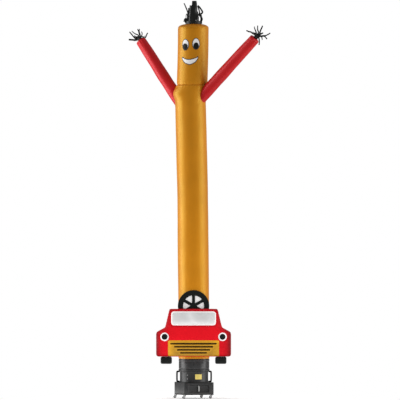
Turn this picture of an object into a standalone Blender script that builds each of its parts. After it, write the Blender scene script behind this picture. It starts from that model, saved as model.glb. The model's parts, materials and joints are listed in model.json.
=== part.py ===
"""Inflatable air dancer standing on its fan unit: a leaning cloth tube with a head, two raised arms, black
streamers and a car-shaped padded panel, its cuff round the outlet of a square fan unit on four casters.

Metres, +Z up, the face looks along -Y. The heights are from the floor and the other places are from the fan
axis, which stands at (FAN_X, FAN_Y) so that the middle of the bounding box is over the origin.
"""
import math

import bmesh
import bpy
from mathutils import Vector
from mathutils.bvhtree import BVHTree

FAN_X = -0.0795
FAN_Y = 0.029

# Cloth
SKIN = 0.0025  # thickness of the tube cloth
SEW_GAP = 0.0005  # between two pieces sewn edge to edge
PATCH = 0.0015  # thickness of a sewn-on patch
PATCH_GAP = 0.0012  # between a patch and the rounded cloth under it
CAR_PATCH_GAP = 0.0022
HEADLIGHT_GAP = 0.0014
LAYER_GAP = 0.0008  # between two patches on one another

# Tube
TUBE_SIDES = 36
TUBE_RADIUS = 0.234
CUFF_RADIUS = 0.2306
CUFF_Z = 0.605
CUFF_TOP_Z = 0.72
NECK_Z = 4.76
NECK_PINCH = 0.007
NECK_SPREAD = 0.03
HEAD_TOP_Z = 5.62
CROWN_TOP_Z = 5.69
VENT_RADIUS = 0.106
VENT_X = -0.004
# Sideways place of the tube's centre line at each height
LEAN = (
    # height, offset
    (0.605, 0.0),
    (1.61, -0.0065),
    (2.34, -0.014),
    (3.07, -0.021),
    (3.55, -0.033),
    (4.04, -0.044),
    (4.41, -0.053),
    (4.60, -0.055),
    (4.76, -0.032),
    (4.97, -0.023),
    (5.29, -0.014),
    (5.62, -0.011),
)
TUBE_LEVELS = (
    0.605, 0.66, 0.72, 1.61, 2.34, 3.07, 3.55, 4.04, 4.32, 4.41, 4.47, 4.52, 4.56, 4.60, 4.64,
    4.68, 4.72, 4.745, 4.76,
)
HEAD_LEVELS = (4.7605, 4.78, 4.82, 4.97, 5.13, 5.29, 5.62)
# The cloth swells in front of the left shoulder
SWELL = 0.040
SWELL_Z = 4.64
SWELL_HEIGHT = 0.075
SWELL_AZIMUTH = math.radians(201)
SWELL_SPREAD = 0.50

# Arms
ARM_SIDES = 22
ARM_CUT_RADIUS = 0.074
ARM_RADII = (
    # share of length, radius
    (0.0, 0.089),
    (0.13, 0.092),
    (0.24, 0.0895),
    (0.38, 0.091),
    (0.54, 0.0875),
    (0.72, 0.0855),
    (0.88, 0.082),
    (1.0, 0.0775),
)
HAND_END = (
    # distance past the wrist, radius
    (0.009, 0.071),
    (0.017, 0.052),
    (0.020, 0.026),
)
ARM_SPECS = (
    # name, root azimuth, root height, reach x, y, z, gap at the root
    ("arm_left", 153, 4.59, -0.540, 0.330, 0.8475, 0.0024),
    ("arm_right", -27, 4.62, 0.758, -0.386, 0.829, 0.0017),
)

# Face
EYE_SPECS = (
    # name, arc from the middle, height, half width, half height, slot, layer
    ("eye_left", -0.1238, 5.373, 0.060, 0.091, "white", 0),
    ("eye_right", 0.0434, 5.388, 0.060, 0.091, "white", 0),
    ("pupil_left", -0.1290, 5.342, 0.038, 0.046, "black", 1),
    ("pupil_right", 0.0402, 5.356, 0.037, 0.046, "black", 1),
)
MOUTH = (
    # arc, lower edge, upper edge
    (-0.190, 5.148, 5.172),
    (-0.151, 5.104, 5.170),
    (-0.098, 5.074, 5.150),
    (-0.0345, 5.066, 5.150),
    (0.0112, 5.088, 5.165),
    (0.0418, 5.113, 5.195),
    (0.0732, 5.142, 5.218),
    (0.088, 5.190, 5.224),
)

# Car panel
CAR_X = -0.007
CAR_OUTLINE = (
    # height, half width
    (0.640, 0.5385),
    (0.6488, 0.5597),
    (0.670, 0.5685),
    (0.985, 0.5685),
    (1.0154, 0.5586),
    (1.0838, 0.4332),
    (1.340, 0.3735),
    (1.3607, 0.3650),
    (1.3695, 0.3440),
)
CAR_ROWS = (
    0.640, 0.6488, 0.670, 0.70, 0.74, 0.80, 0.88, 0.985, 1.0154, 1.0838, 1.14, 1.20, 1.25,
    1.29, 1.32, 1.340, 1.3607, 1.3695,
)
CAR_COLUMNS = 18
CAR_LOW_BACK = 0.2347  # distance of the padded back from the fan axis, where it is sewn to the tube
CAR_HIGH_BACK = 0.2515  # the same behind the roof, clear of the spare wheel
CAR_BACK_ROUND = 0.022
CAR_RIM = 0.022
CAR_CROWN = 0.066

# Spare wheel
WHEEL_X = -0.007
WHEEL_Z = 1.408
WHEEL_RADIUS = 0.239
WHEEL_OPENING = 0.158
WHEEL_SPOKE = 0.046
WHEEL_FACE_RADIUS = 0.172

# Fan unit
TURN = math.radians(18.7)
UNIT_SIDE = 0.473
UNIT_LOW = 0.0675
UNIT_HIGH = 0.2475
PLATE_SIDE = 0.478
PLATE_LOW = 0.0555
PLATE_HIGH = 0.067
RECESS = (0.32, 0.026, 0.106)
RECESS_Z = 0.149
DUCT_RADIUS = 0.2315
DRUM_RADIUS = 0.215
BEAD_RADIUS = 0.2200
DRUM_HIGH = 0.4175
BAND_HIGH = 0.4455

# Casters
CASTER_INSET = 0.9
CASTER_TRAIL = 0.022
CASTER_WHEEL_RADIUS = 0.0225
CASTER_WHEEL_WIDTH = 0.0184
CASTER_GAP = 0.0003
CHEEK = 0.0025
AXLE_RADIUS = 0.003

COLOURS = {
    # slot: red, green, blue, roughness, metallic
    "gold_cloth": (0.80, 0.47, 0.09, 0.55, 0.0),
    "red_cloth": (0.62, 0.02, 0.03, 0.55, 0.0),
    "black_cloth": (0.012, 0.014, 0.013, 0.60, 0.0),
    "white_cloth": (0.85, 0.85, 0.84, 0.60, 0.0),
    "grey_cloth": (0.50, 0.50, 0.51, 0.60, 0.0),
    "bar_cloth": (0.09, 0.03, 0.005, 0.60, 0.0),
    "dark_plastic": (0.030, 0.030, 0.032, 0.50, 0.0),
    "duct_plastic": (0.11, 0.11, 0.115, 0.45, 0.0),
    "label_film": (0.72, 0.60, 0.16, 0.40, 0.0),
    "steel": (0.55, 0.55, 0.56, 0.35, 1.0),
    "wheel_rubber": (0.020, 0.020, 0.021, 0.60, 0.0),
}


def clear_scene():
    for old in list(bpy.data.objects):
        bpy.data.objects.remove(old, do_unlink=True)


def collection(name):
    made = bpy.data.collections.new(name)
    bpy.context.scene.collection.children.link(made)
    return made


def material(name, slot):
    red, green, blue, roughness, metallic = COLOURS[slot]
    made = bpy.data.materials.new(name)
    made.use_nodes = True
    shader = made.node_tree.nodes["Principled BSDF"]
    shader.inputs["Base Color"].default_value = (red, green, blue, 1)
    shader.inputs["Roughness"].default_value = roughness
    shader.inputs["Metallic"].default_value = metallic
    return made


def between(table, at):
    """Value of a two-column table at this place, on straight lines between its rows."""
    if at <= table[0][0]:
        return table[0][1]
    for (start, low), (end, high) in zip(table, table[1:]):
        if at <= end:
            return low + (high - low) * (at - start) / (end - start)
    return table[-1][1]


def link(name, mesh, slot, into):
    obj = bpy.data.objects.new(name, mesh)
    if slot:
        mesh.materials.append(material(name, slot))
    obj.location = (FAN_X, FAN_Y, 0)
    into.objects.link(obj)
    return obj


def face_outwards(grid):
    if grid.calc_volume(signed=True) < 0:
        bmesh.ops.reverse_faces(grid, faces=grid.faces)


def solid(name, points, faces, slot, into):
    """One closed mesh facing out."""
    mesh = bpy.data.meshes.new(name)
    mesh.from_pydata([tuple(point) for point in points], [], faces)
    grid = bmesh.new()
    grid.from_mesh(mesh)
    face_outwards(grid)
    grid.to_mesh(mesh)
    grid.free()
    return link(name, mesh, slot, into)


def ring_loop(name, rings, slot, into):
    """A wall that closes on itself: each ring is joined to the next, and the last to the first."""
    sides = len(rings[0])
    count = len(rings)
    faces = []
    for row in range(count):
        after = (row + 1) % count
        for side in range(sides):
            beside = (side + 1) % sides
            faces.append((row * sides + side, row * sides + beside, after * sides + beside, after * sides + side))
    points = [point for ring in rings for point in ring]
    return solid(name, points, faces, slot, into)


def circle(radius, height, sides, x=0.0, y=0.0, start=0.0):
    turns = [start + 2 * math.pi * side / sides for side in range(sides)]
    return [Vector((x + radius * math.cos(turn), y + radius * math.sin(turn), height)) for turn in turns]


def lathe(name, profile, sides, slot, into):
    """Ring turned about the fan axis from a closed loop of (radius, height)."""
    return ring_loop(name, [circle(radius, height, sides) for radius, height in profile], slot, into)


def padded_between(name, stations, across, outer, inner, slot, into):
    """Closed piece between two surfaces. Each station is (a, low b, high b); the surfaces take (a, b)."""
    points = []
    columns = across + 1
    for surface in (outer, inner):
        for along, low, high in stations:
            for column in range(columns):
                points.append(surface(along, low + (high - low) * column / across))
    layer = len(stations) * columns
    faces = []
    for row in range(len(stations) - 1):
        for column in range(across):
            corner = row * columns + column
            quad = (corner, corner + 1, corner + columns + 1, corner + columns)
            faces.append(quad)
            faces.append(tuple(layer + index for index in reversed(quad)))
    last = (len(stations) - 1) * columns
    rim = list(range(columns))
    rim += [row * columns + across for row in range(1, len(stations))]
    rim += [last + column for column in range(across - 1, -1, -1)]
    rim += [row * columns for row in range(len(stations) - 2, 0, -1)]
    for here, there in zip(rim, rim[1:] + rim[:1]):
        faces.append((there, here, layer + here, layer + there))
    return solid(name, points, faces, slot, into)


def patch_disc(name, middle, half, surface, gap, thick, slot, into, sides=18, rows=3):
    """Oval patch on a surface that takes (a, b, distance off it)."""
    points = []
    for depth in (gap + thick, gap):
        points.append(surface(middle[0], middle[1], depth))
        for row in range(1, rows + 1):
            for side in range(sides):
                turn = 2 * math.pi * side / sides
                share = row / rows
                a = middle[0] + half[0] * share * math.cos(turn)
                b = middle[1] + half[1] * share * math.sin(turn)
                points.append(surface(a, b, depth))
    layer = 1 + rows * sides
    faces = []
    for side in range(sides):
        beside = (side + 1) % sides
        fan = (0, 1 + side, 1 + beside)
        faces.append(fan)
        faces.append(tuple(layer + index for index in reversed(fan)))
        for row in range(rows - 1):
            near = 1 + row * sides
            far = near + sides
            quad = (near + side, far + side, far + beside, near + beside)
            faces.append(quad)
            faces.append(tuple(layer + index for index in reversed(quad)))
        edge = 1 + (rows - 1) * sides
        faces.append((edge + side, layer + edge + side, layer + edge + beside, edge + beside))
    return solid(name, points, faces, slot, into)


def bar_along(name, path, width, depth, slot, into):
    """Flat bar bent in the XZ plane along its path: width in that plane, depth along Y."""
    path = [Vector((x, 0, z)) for x, z in path]
    rings = []
    for index, point in enumerate(path):
        before = path[max(index - 1, 0)]
        after = path[min(index + 1, len(path) - 1)]
        ahead = (after - before).normalized()
        if 0 < index < len(path) - 1:
            first = (point - before).normalized()
            stretch = 1 / max(first.dot(ahead), 0.5)
        else:
            stretch = 1.0
        across = Vector((-ahead.z, 0, ahead.x)) * (width / 2 * stretch)
        deep = Vector((0, depth / 2, 0))
        rings.append([point - across - deep, point + across - deep, point + across + deep, point - across + deep])
    points = [point for ring in rings for point in ring]
    faces = [(0, 1, 2, 3), tuple(len(points) - 4 + index for index in (3, 2, 1, 0))]
    for row in range(len(rings) - 1):
        for side in range(4):
            beside = (side + 1) % 4
            near = row * 4
            faces.append((near + beside, near + side, near + 4 + side, near + 4 + beside))
    return solid(name, points, faces, slot, into)


def box(name, size, middle, slot, into, bevel=0.0, turn=0.0, segments=1):
    mesh = bpy.data.meshes.new(name)
    grid = bmesh.new()
    bmesh.ops.create_cube(grid, size=1.0)
    bmesh.ops.scale(grid, vec=size, verts=grid.verts)
    bmesh.ops.translate(grid, vec=middle, verts=grid.verts)
    grid.to_mesh(mesh)
    grid.free()
    obj = link(name, mesh, slot, into)
    obj.rotation_euler = (0, 0, turn)
    if bevel:
        rounding = obj.modifiers.new("Rounded edges", "BEVEL")
        rounding.width = bevel
        rounding.segments = segments
    return obj


def rod(name, radius, length, middle, axis, sides, slot, into):
    """Solid cylinder along this axis."""
    mesh = bpy.data.meshes.new(name)
    grid = bmesh.new()
    bmesh.ops.create_cone(
        grid, cap_ends=True, segments=sides, radius1=radius, radius2=radius, depth=length
    )
    turn = Vector((0, 0, 1)).rotation_difference(Vector(axis)).to_matrix()
    bmesh.ops.rotate(grid, cent=(0, 0, 0), matrix=turn, verts=grid.verts)
    bmesh.ops.translate(grid, vec=middle, verts=grid.verts)
    grid.to_mesh(mesh)
    grid.free()
    return link(name, mesh, slot, into)


def combine(obj, other, operation):
    other.hide_render = True
    other.display_type = "WIRE"
    step = obj.modifiers.new(other.name, "BOOLEAN")
    step.operation = operation
    step.solver = "EXACT"
    step.object = other


# ---- tube, head and crown


def tube_radius(height, azimuth):
    share = min(max((height - CUFF_Z) / (CUFF_TOP_Z - CUFF_Z), 0), 1)
    radius = CUFF_RADIUS + (TUBE_RADIUS - CUFF_RADIUS) * share
    radius -= NECK_PINCH * math.exp(-(((height - NECK_Z) / NECK_SPREAD) ** 2))
    if height < NECK_Z + 0.0003:
        apart = math.remainder(azimuth - SWELL_AZIMUTH, 2 * math.pi) / SWELL_SPREAD
        rise = (height - SWELL_Z) / SWELL_HEIGHT
        radius += SWELL * math.exp(-apart * apart) * math.exp(-rise * rise)
    return radius


def tube_point(height, azimuth, off=0.0):
    radius = tube_radius(height, azimuth) + off
    x = between(LEAN, height) + radius * math.cos(azimuth)
    return Vector((x, radius * math.sin(azimuth), height))


def tube_ring(height, off=0.0):
    return [tube_point(height, 2 * math.pi * side / TUBE_SIDES, off) for side in range(TUBE_SIDES)]


def cloth_tube(name, levels, slot, into):
    outside = [tube_ring(height) for height in levels]
    inside = [tube_ring(height, -SKIN) for height in reversed(levels)]
    return ring_loop(name, outside + inside, slot, into)


def outer_tree():
    """The outside of the body tube, for finding where an arm meets it."""
    points = []
    faces = []
    for row, height in enumerate(TUBE_LEVELS):
        points += tube_ring(height)
        for side in range(TUBE_SIDES if row else 0):
            beside = (side + 1) % TUBE_SIDES
            low = (row - 1) * TUBE_SIDES
            high = row * TUBE_SIDES
            faces.append((low + side, low + beside, high + beside))
            faces.append((low + side, high + beside, high + side))
    return BVHTree.FromPolygons(points, faces)


def crown(into):
    profile = (
        # radius, height, centre
        (TUBE_RADIUS, HEAD_TOP_Z + SEW_GAP, -0.011),
        (0.2290, 5.648, -0.0105),
        (0.2060, 5.672, -0.009),
        (0.1600, 5.6855, -0.006),
        (VENT_RADIUS, CROWN_TOP_Z, VENT_X),
    )
    outside = [circle(radius, height, TUBE_SIDES, x) for radius, height, x in profile]
    inside = []
    for index, (radius, height, x) in enumerate(profile):
        rise = (0.0, 0.35, 0.75, 0.95, 1.0)[index] * SKIN
        draw = (1.0, 0.92, 0.6, 0.2, 0.0)[index] * SKIN
        inside.insert(0, circle(radius - draw, height - rise, TUBE_SIDES, x))
    return ring_loop("crown_panel", outside + inside, "gold_cloth", into)


def head_place(arc, height, off):
    turn = arc / TUBE_RADIUS
    radius = TUBE_RADIUS + off
    return Vector((between(LEAN, height) + radius * math.sin(turn), -radius * math.cos(turn), height))


def face(into):
    for name, arc, height, wide, tall, colour, layer in EYE_SPECS:
        gap = PATCH_GAP + layer * (LAYER_GAP + PATCH)
        rows = 3 - layer
        patch_disc(name, (arc, height), (wide, tall), head_place, gap, PATCH, colour + "_cloth", into, rows=rows)
    fine = []
    for (a, low, high), (b, low_b, high_b) in zip(MOUTH, MOUTH[1:]):
        for share in (0.0, 0.5):
            fine.append((a + (b - a) * share, low + (low_b - low) * share, high + (high_b - high) * share))
    fine.append(MOUTH[-1])
    padded_between(
        "mouth",
        fine,
        3,
        lambda arc, height: head_place(arc, height, PATCH_GAP + PATCH),
        lambda arc, height: head_place(arc, height, PATCH_GAP),
        "white_cloth",
        into,
    )


# ---- arms


def arm_frame(spec):
    azimuth, height, x, y, z = spec[1:6]
    root = tube_point(height, math.radians(azimuth))
    ahead = Vector((x, y, z)).normalized()
    side = ahead.cross(Vector((0, 0, 1))).normalized()
    return root, ahead, side, side.cross(ahead), Vector((x, y, z)).length


def arm_ring(frame, along, radius):
    root, ahead, side, up, _ = frame
    ring = []
    for index in range(ARM_SIDES):
        turn = 2 * math.pi * index / ARM_SIDES
        ring.append(root + ahead * along + side * (radius * math.cos(turn)) + up * (radius * math.sin(turn)))
    return ring


def arm_root_ring(frame, radius, gap, tree):
    """Where the arm's wall meets the tube, a little off its cloth."""
    ahead = frame[1]
    ring = []
    for start in arm_ring(frame, 0.5, radius):
        hit, normal, _, _ = tree.ray_cast(start, -ahead)
        ring.append(hit + ahead * (gap / max(abs(normal.dot(ahead)), 0.3)))
    return ring


def arm(spec, tree, tube, into, cutters):
    frame = arm_frame(spec)
    length = frame[4]
    outside = [arm_root_ring(frame, ARM_RADII[0][1], spec[6], tree)]
    inside = [arm_root_ring(frame, ARM_RADII[0][1] - SKIN, spec[6], tree)]
    for share, radius in ARM_RADII[1:]:
        outside.append(arm_ring(frame, share * length, radius))
        inside.append(arm_ring(frame, share * length, radius - SKIN))
    for past, radius in HAND_END:
        flat = 1 - past / HAND_END[-1][0]
        outside.append(arm_ring(frame, length + past, radius))
        inside.append(arm_ring(frame, length + past - SKIN * (1 - 0.5 * flat), radius - SKIN * 0.8 * flat))
    ring_loop(spec[0], outside + inside[::-1], "red_cloth", into)
    root, ahead = frame[:2]
    hole = rod(spec[0] + "_hole", ARM_CUT_RADIUS, 0.30, root + ahead * 0.05, ahead, 20, None, cutters)
    combine(tube, hole, "DIFFERENCE")
    return frame


# ---- streamers


def ribbon(name, path, widths, thick, facing, into):
    """Flat closed strip along its path, its broad side turned to face this way."""
    points = []
    for index, point in enumerate(path):
        before = path[max(index - 1, 0)]
        after = path[min(index + 1, len(path) - 1)]
        ahead = (after - before).normalized()
        side = ahead.cross(facing).normalized()
        over = side.cross(ahead)
        for right, out in ((-1, -1), (1, -1), (1, 1), (-1, 1)):
            points.append(point + side * (right * widths[index] / 2) + over * (out * thick / 2))
    faces = [(3, 2, 1, 0), tuple(len(points) - 4 + index for index in range(4))]
    for row in range(len(path) - 1):
        near = row * 4
        for edge in range(4):
            beside = (edge + 1) % 4
            faces.append((near + edge, near + beside, near + 4 + beside, near + 4 + edge))
    return solid(name, points, faces, None, into)


def ringed(name, rings, slot, into):
    """Solid skinned over its rings, with both ends capped."""
    sides = len(rings[0])
    points = [point for ring in rings for point in ring]
    faces = [tuple(range(sides - 1, -1, -1))]
    faces.append(tuple(range(len(points) - sides, len(points))))
    for row in range(len(rings) - 1):
        low = row * sides
        for side in range(sides):
            beside = (side + 1) % sides
            faces.append((low + side, low + beside, low + sides + beside, low + sides + side))
    return solid(name, points, faces, slot, into)


STREAMER_THICK = 0.0035
KNOB = (
    # distance past the wrist, radius
    (0.004, 0.0253),
    (0.0235, 0.0253),
    (0.034, 0.031),
    (0.062, 0.034),
    (0.082, 0.024),
)
# Sideways and height from the middle of the wrist, in mm, and the depth there of root and tip
STREAMERS_RIGHT = (
    # width, depth of root, depth of tip, points
    (18, -42, -60, ((40, 48), (-5, 71), (-50, 102), (-88, 111), (-122, 128))),
    (16, -26, -34, ((38, 48), (30, 86), (18, 125), (2, 163), (2, 188))),
    (16, -10, -6, ((42, 50), (61, 102), (49, 140), (49, 204))),
    (17, -34, -44, ((44, 44), (76, 76), (91, 125), (109, 163), (125, 201))),
    (20, -2, 8, ((38, 42), (94, 76), (134, 93))),
    (15, -18, -16, ((34, 36), (71, 33), (117, 49), (170, 52), (216, 74), (239, 90))),
    (15, -46, -74, ((42, 42), (102, 36), (140, 41), (167, 26), (190, -5))),
    (16, -36, -50, ((44, 44), (66, 20), (74, -35), (71, -93))),
    (14, 2, 30, ((40, 44), (20, 84), (-14, 92), (-36, 78))),
    (14, -48, -86, ((40, 40), (18, 66), (-14, 76), (-22, 108))),
    (14, -6, 26, ((44, 44), (88, 52), (112, 24), (118, -14))),
)
STREAMERS_LEFT = (
    # width, depth of root, depth of tip, points
    (16, 34, 56, ((-26, 44), (-76, 35), (-114, 68), (-137, 96), (-160, 123), (-178, 144))),
    (15, 26, 20, ((-30, 46), (-46, 94), (-84, 111), (-119, 134), (-144, 160))),
    (15, 10, -14, ((-28, 44), (-68, 49), (-102, 88))),
    (15, 18, 30, ((-26, 44), (-11, 60), (-26, 103), (-40, 157), (-55, 187))),
    (14, 2, -10, ((-26, 46), (-14, 70), (-18, 110), (-30, 149), (-26, 190))),
    (15, 10, 4, ((-26, 44), (24, 50), (65, 58), (82, 96), (100, 129))),
    (22, 44, 66, ((-30, 40), (-76, 20), (-137, 23), (-190, 27))),
    (16, 42, 80, ((-28, 44), (-60, 66), (-78, 40), (-112, 6))),
    (14, -4, -30, ((-26, 44), (-56, 70), (-92, 60), (-112, 74))),
    (14, 40, 70, ((-26, 48), (6, 84), (14, 122), (2, 150))),
    (14, -2, -24, ((-26, 42), (4, 70), (40, 66), (62, 84))),
)


def streamers(name, frame, table, into, cutters):
    root, ahead, side, up, length = frame
    wrist = root + ahead * length
    rings = []
    for past, radius in KNOB:
        ring = []
        for index in range(10):
            turn = 2 * math.pi * index / 10
            ring.append(wrist + ahead * past + side * (radius * math.cos(turn)) + up * (radius * math.sin(turn)))
        rings.append(ring)
    knob = ringed(name, rings, "black_cloth", into)
    for index, (width, near, far, points) in enumerate(table, 1):
        path = []
        for step, (x, z) in enumerate(points):
            share = step / (len(points) - 1)
            path.append(wrist + Vector((x, near + (far - near) * share, z)) / 1000)
        facing = Vector((0.25 * math.sin(2.1 * index), -1, 0.2 * math.cos(1.7 * index)))
        strip = ribbon(f"{name}_{index}", path, [width / 1000] * len(path), STREAMER_THICK, facing, cutters)
        combine(knob, strip, "UNION")


HAIR_SIDES = 24
HAIR_INNER = 0.105
HAIR_OUTER = 0.127
HAIR_MIDDLE = 0.116
HAIR_LOW = CROWN_TOP_Z + 0.0008
HAIR_HIGH = 5.735
HAIR_THICK = 0.004
# Each strip stands in the ring at this azimuth, counted from +X towards +Y. Its points are sideways
# and depth from the vent's middle and height above the ring, in mm.
HAIR = (
    # azimuth, widths, points
    (270, (60, 74, 84, 84, 70), ((0, -114, 50), (4, -104, 130), (10, -96, 220), (8, -92, 304))),
    (242, (42, 46, 52, 50), ((-52, -92, 48), (-46, -76, 130), (-42, -70, 236))),
    (298, (40, 42, 46, 44), ((50, -92, 50), (42, -72, 130), (44, -62, 228))),
    (203, (18, 18, 16, 15, 14), ((-106, -44, 60), (-118, -40, 110), (-134, -36, 160), (-148, -34, 268))),
    (222, (20, 20, 18, 16), ((-84, -72, 60), (-86, -64, 120), (-84, -62, 186))),
    (
        326,
        (34, 30, 26, 22, 20, 20, 20, 20, 20),
        (
            (88, -62, 60),
            (72, -52, 140),
            (78, -50, 205),
            (98, -50, 214),
            (116, -50, 186),
            (122, -52, 140),
            (112, -54, 104),
            (90, -58, 90),
        ),
    ),
    (8, (40, 40, 38, 30), ((120, 16, 44), (118, 14, 82), (98, 12, 112))),
    (32, (36, 34, 30, 26), ((104, 64, 46), (100, 62, 90), (80, 54, 122))),
    (58, (40, 42, 44, 38), ((62, 102, 50), (56, 94, 104), (52, 84, 150))),
    (86, (44, 50, 54, 52, 44), ((6, 118, 50), (4, 106, 120), (4, 92, 180), (2, 82, 214))),
    (114, (40, 42, 44, 38), ((-52, 106, 50), (-50, 96, 110), (-48, 84, 160))),
    (140, (36, 34, 32, 26), ((-92, 78, 44), (-94, 74, 90), (-84, 64, 124))),
    (164, (36, 34, 32, 26), ((-116, 34, 44), (-118, 32, 80), (-106, 28, 112))),
    (184, (34, 34, 32, 28), ((-126, -8, 26), (-150, -10, 22), (-160, -12, -10))),
    (348, (30, 28, 26, 22), ((116, -24, 40), (120, -24, 66), (116, -26, 96))),
)


def hair(into, cutters):
    profile = (
        (HAIR_OUTER, HAIR_HIGH - 0.006),
        (HAIR_OUTER, HAIR_LOW),
        (HAIR_INNER, HAIR_LOW),
        (HAIR_INNER, HAIR_HIGH),
        (HAIR_OUTER - 0.005, HAIR_HIGH),
    )
    rings = [circle(radius, height, HAIR_SIDES, VENT_X) for radius, height in profile]
    ruff = ring_loop("hair_ruff", rings, "black_cloth", into)
    for index, (azimuth, widths, points) in enumerate(HAIR, 1):
        turn = math.radians(azimuth)
        outwards = Vector((math.cos(turn), math.sin(turn), 0))
        middle = Vector((VENT_X, 0, HAIR_HIGH))
        path = [middle + outwards * HAIR_MIDDLE - Vector((0, 0, 0.020))]
        path += [middle + Vector(point) / 1000 for point in points]
        # The broad side faces out where the strip stands, and forward where it folds over.
        facing = (outwards + Vector((0, -0.15, 0))).normalized() if azimuth != 326 else Vector((0, -1, 0))
        strip = ribbon(f"hair_{index}", path, [width / 1000 for width in widths], HAIR_THICK, facing, cutters)
        combine(ruff, strip, "UNION")


# ---- car panel and spare wheel


def roundness(share):
    return max(1 - share**5, 0)


def car_fullness(x, height):
    low, high = CAR_OUTLINE[0][0], CAR_OUTLINE[-1][0]
    across = min(abs(x - CAR_X) / between(CAR_OUTLINE, height), 1)
    along = min(abs(2 * (height - low) / (high - low) - 1), 1)
    return roundness(across) * roundness(along)


def car_back(x, height):
    share = min(max((height - 1.06) / 0.07, 0), 1)
    plane = CAR_LOW_BACK + (CAR_HIGH_BACK - CAR_LOW_BACK) * share
    return plane + CAR_BACK_ROUND * (1 - car_fullness(x, height))


def car_front(x, height):
    rim = CAR_HIGH_BACK + CAR_BACK_ROUND + CAR_RIM
    return rim + CAR_CROWN * car_fullness(x, height)


def car_place(x, height, off):
    return Vector((x, -car_front(x, height) - off, height))


def car_patch(name, middle, half, corner, lift, across, slot, into):
    """Rounded rectangle of cloth on the front of the car, lifted off the lowest layer of patches."""
    gap = CAR_PATCH_GAP + lift
    count = max(4, round(2 * half[0] / 0.075))
    ends = [-half[0] + corner * step for step in (0, 0.3, 1)]
    inside = [-half[0] + corner + (2 * half[0] - 2 * corner) * step / count for step in range(1, count)]
    stations = []
    for along in ends + inside + [-end for end in reversed(ends)]:
        into_corner = max(0, abs(along) - (half[0] - corner))
        cut = corner - math.sqrt(max(corner**2 - into_corner**2, 0))
        tall = half[1] - min(cut, corner * 0.8)
        stations.append((middle[0] + along, middle[1] - tall, middle[1] + tall))
    padded_between(
        name,
        stations,
        across,
        lambda x, height: car_place(x, height, gap + PATCH),
        lambda x, height: car_place(x, height, gap),
        slot,
        into,
    )


def car(into):
    stations = []
    for height in CAR_ROWS:
        wide = between(CAR_OUTLINE, height)
        stations.append((height, CAR_X - wide, CAR_X + wide))
    low_columns = [math.sin(math.pi * (step / CAR_COLUMNS - 0.5)) for step in range(CAR_COLUMNS + 1)]

    def spread(low, high, x):
        """Columns stand closer together towards the rounded sides."""
        share = (x - low) / (high - low)
        step = round(share * CAR_COLUMNS)
        return (low + high) / 2 + (high - low) / 2 * (0.6 * low_columns[step] + 0.4 * (2 * share - 1))

    def outer(height, x):
        wide = between(CAR_OUTLINE, height)
        x = spread(CAR_X - wide, CAR_X + wide, x)
        return Vector((x, -car_front(x, height), height))

    def inner(height, x):
        wide = between(CAR_OUTLINE, height)
        x = spread(CAR_X - wide, CAR_X + wide, x)
        return Vector((x, -car_back(x, height), height))

    padded_between("car_body", stations, CAR_COLUMNS, outer, inner, "red_cloth", into)
    car_patch("windscreen_border", (-0.007, 1.2205), (0.3405, 0.1065), 0.038, 0, 6, "white_cloth", into)
    car_patch("windscreen", (-0.003, 1.2175), (0.3185, 0.0835), 0.022, PATCH + 0.0013, 5, "grey_cloth", into)
    car_patch("grille_panel", (-0.007, 0.7710), (0.3875, 0.1160), 0.030, 0, 6, "gold_cloth", into)
    bars = (
        # height, half length
        (0.837, 0.353),
        (0.7905, 0.296),
        (0.744, 0.251),
        (0.6975, 0.205),
    )
    for index, (height, long) in enumerate(bars, 1):
        car_patch(f"grille_bar_{index}", (-0.007, height), (long, 0.010), 0.006, PATCH + LAYER_GAP, 1, "bar_cloth", into)
    for side, x in (("left", -0.446), ("right", 0.4325)):
        patch_disc(
            f"headlight_ring_{side}",
            (x, 0.9414),
            (0.067, 0.067),
            car_place,
            HEADLIGHT_GAP,
            PATCH,
            "white_cloth",
            into,
            rows=2,
        )
        patch_disc(
            f"headlight_{side}",
            (x, 0.9414),
            (0.045, 0.045),
            car_place,
            HEADLIGHT_GAP + LAYER_GAP + PATCH,
            PATCH,
            "black_cloth",
            into,
            rows=2,
        )


def tyres(into):
    depth = -(CAR_HIGH_BACK + CAR_BACK_ROUND + CAR_RIM / 2)
    for side, x in (("left", -0.421), ("right", 0.406)):
        box(f"tyre_{side}", (0.172, 0.074, 0.110), (x, depth, 0.5845), "black_cloth", into, bevel=0.026, segments=2)


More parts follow.
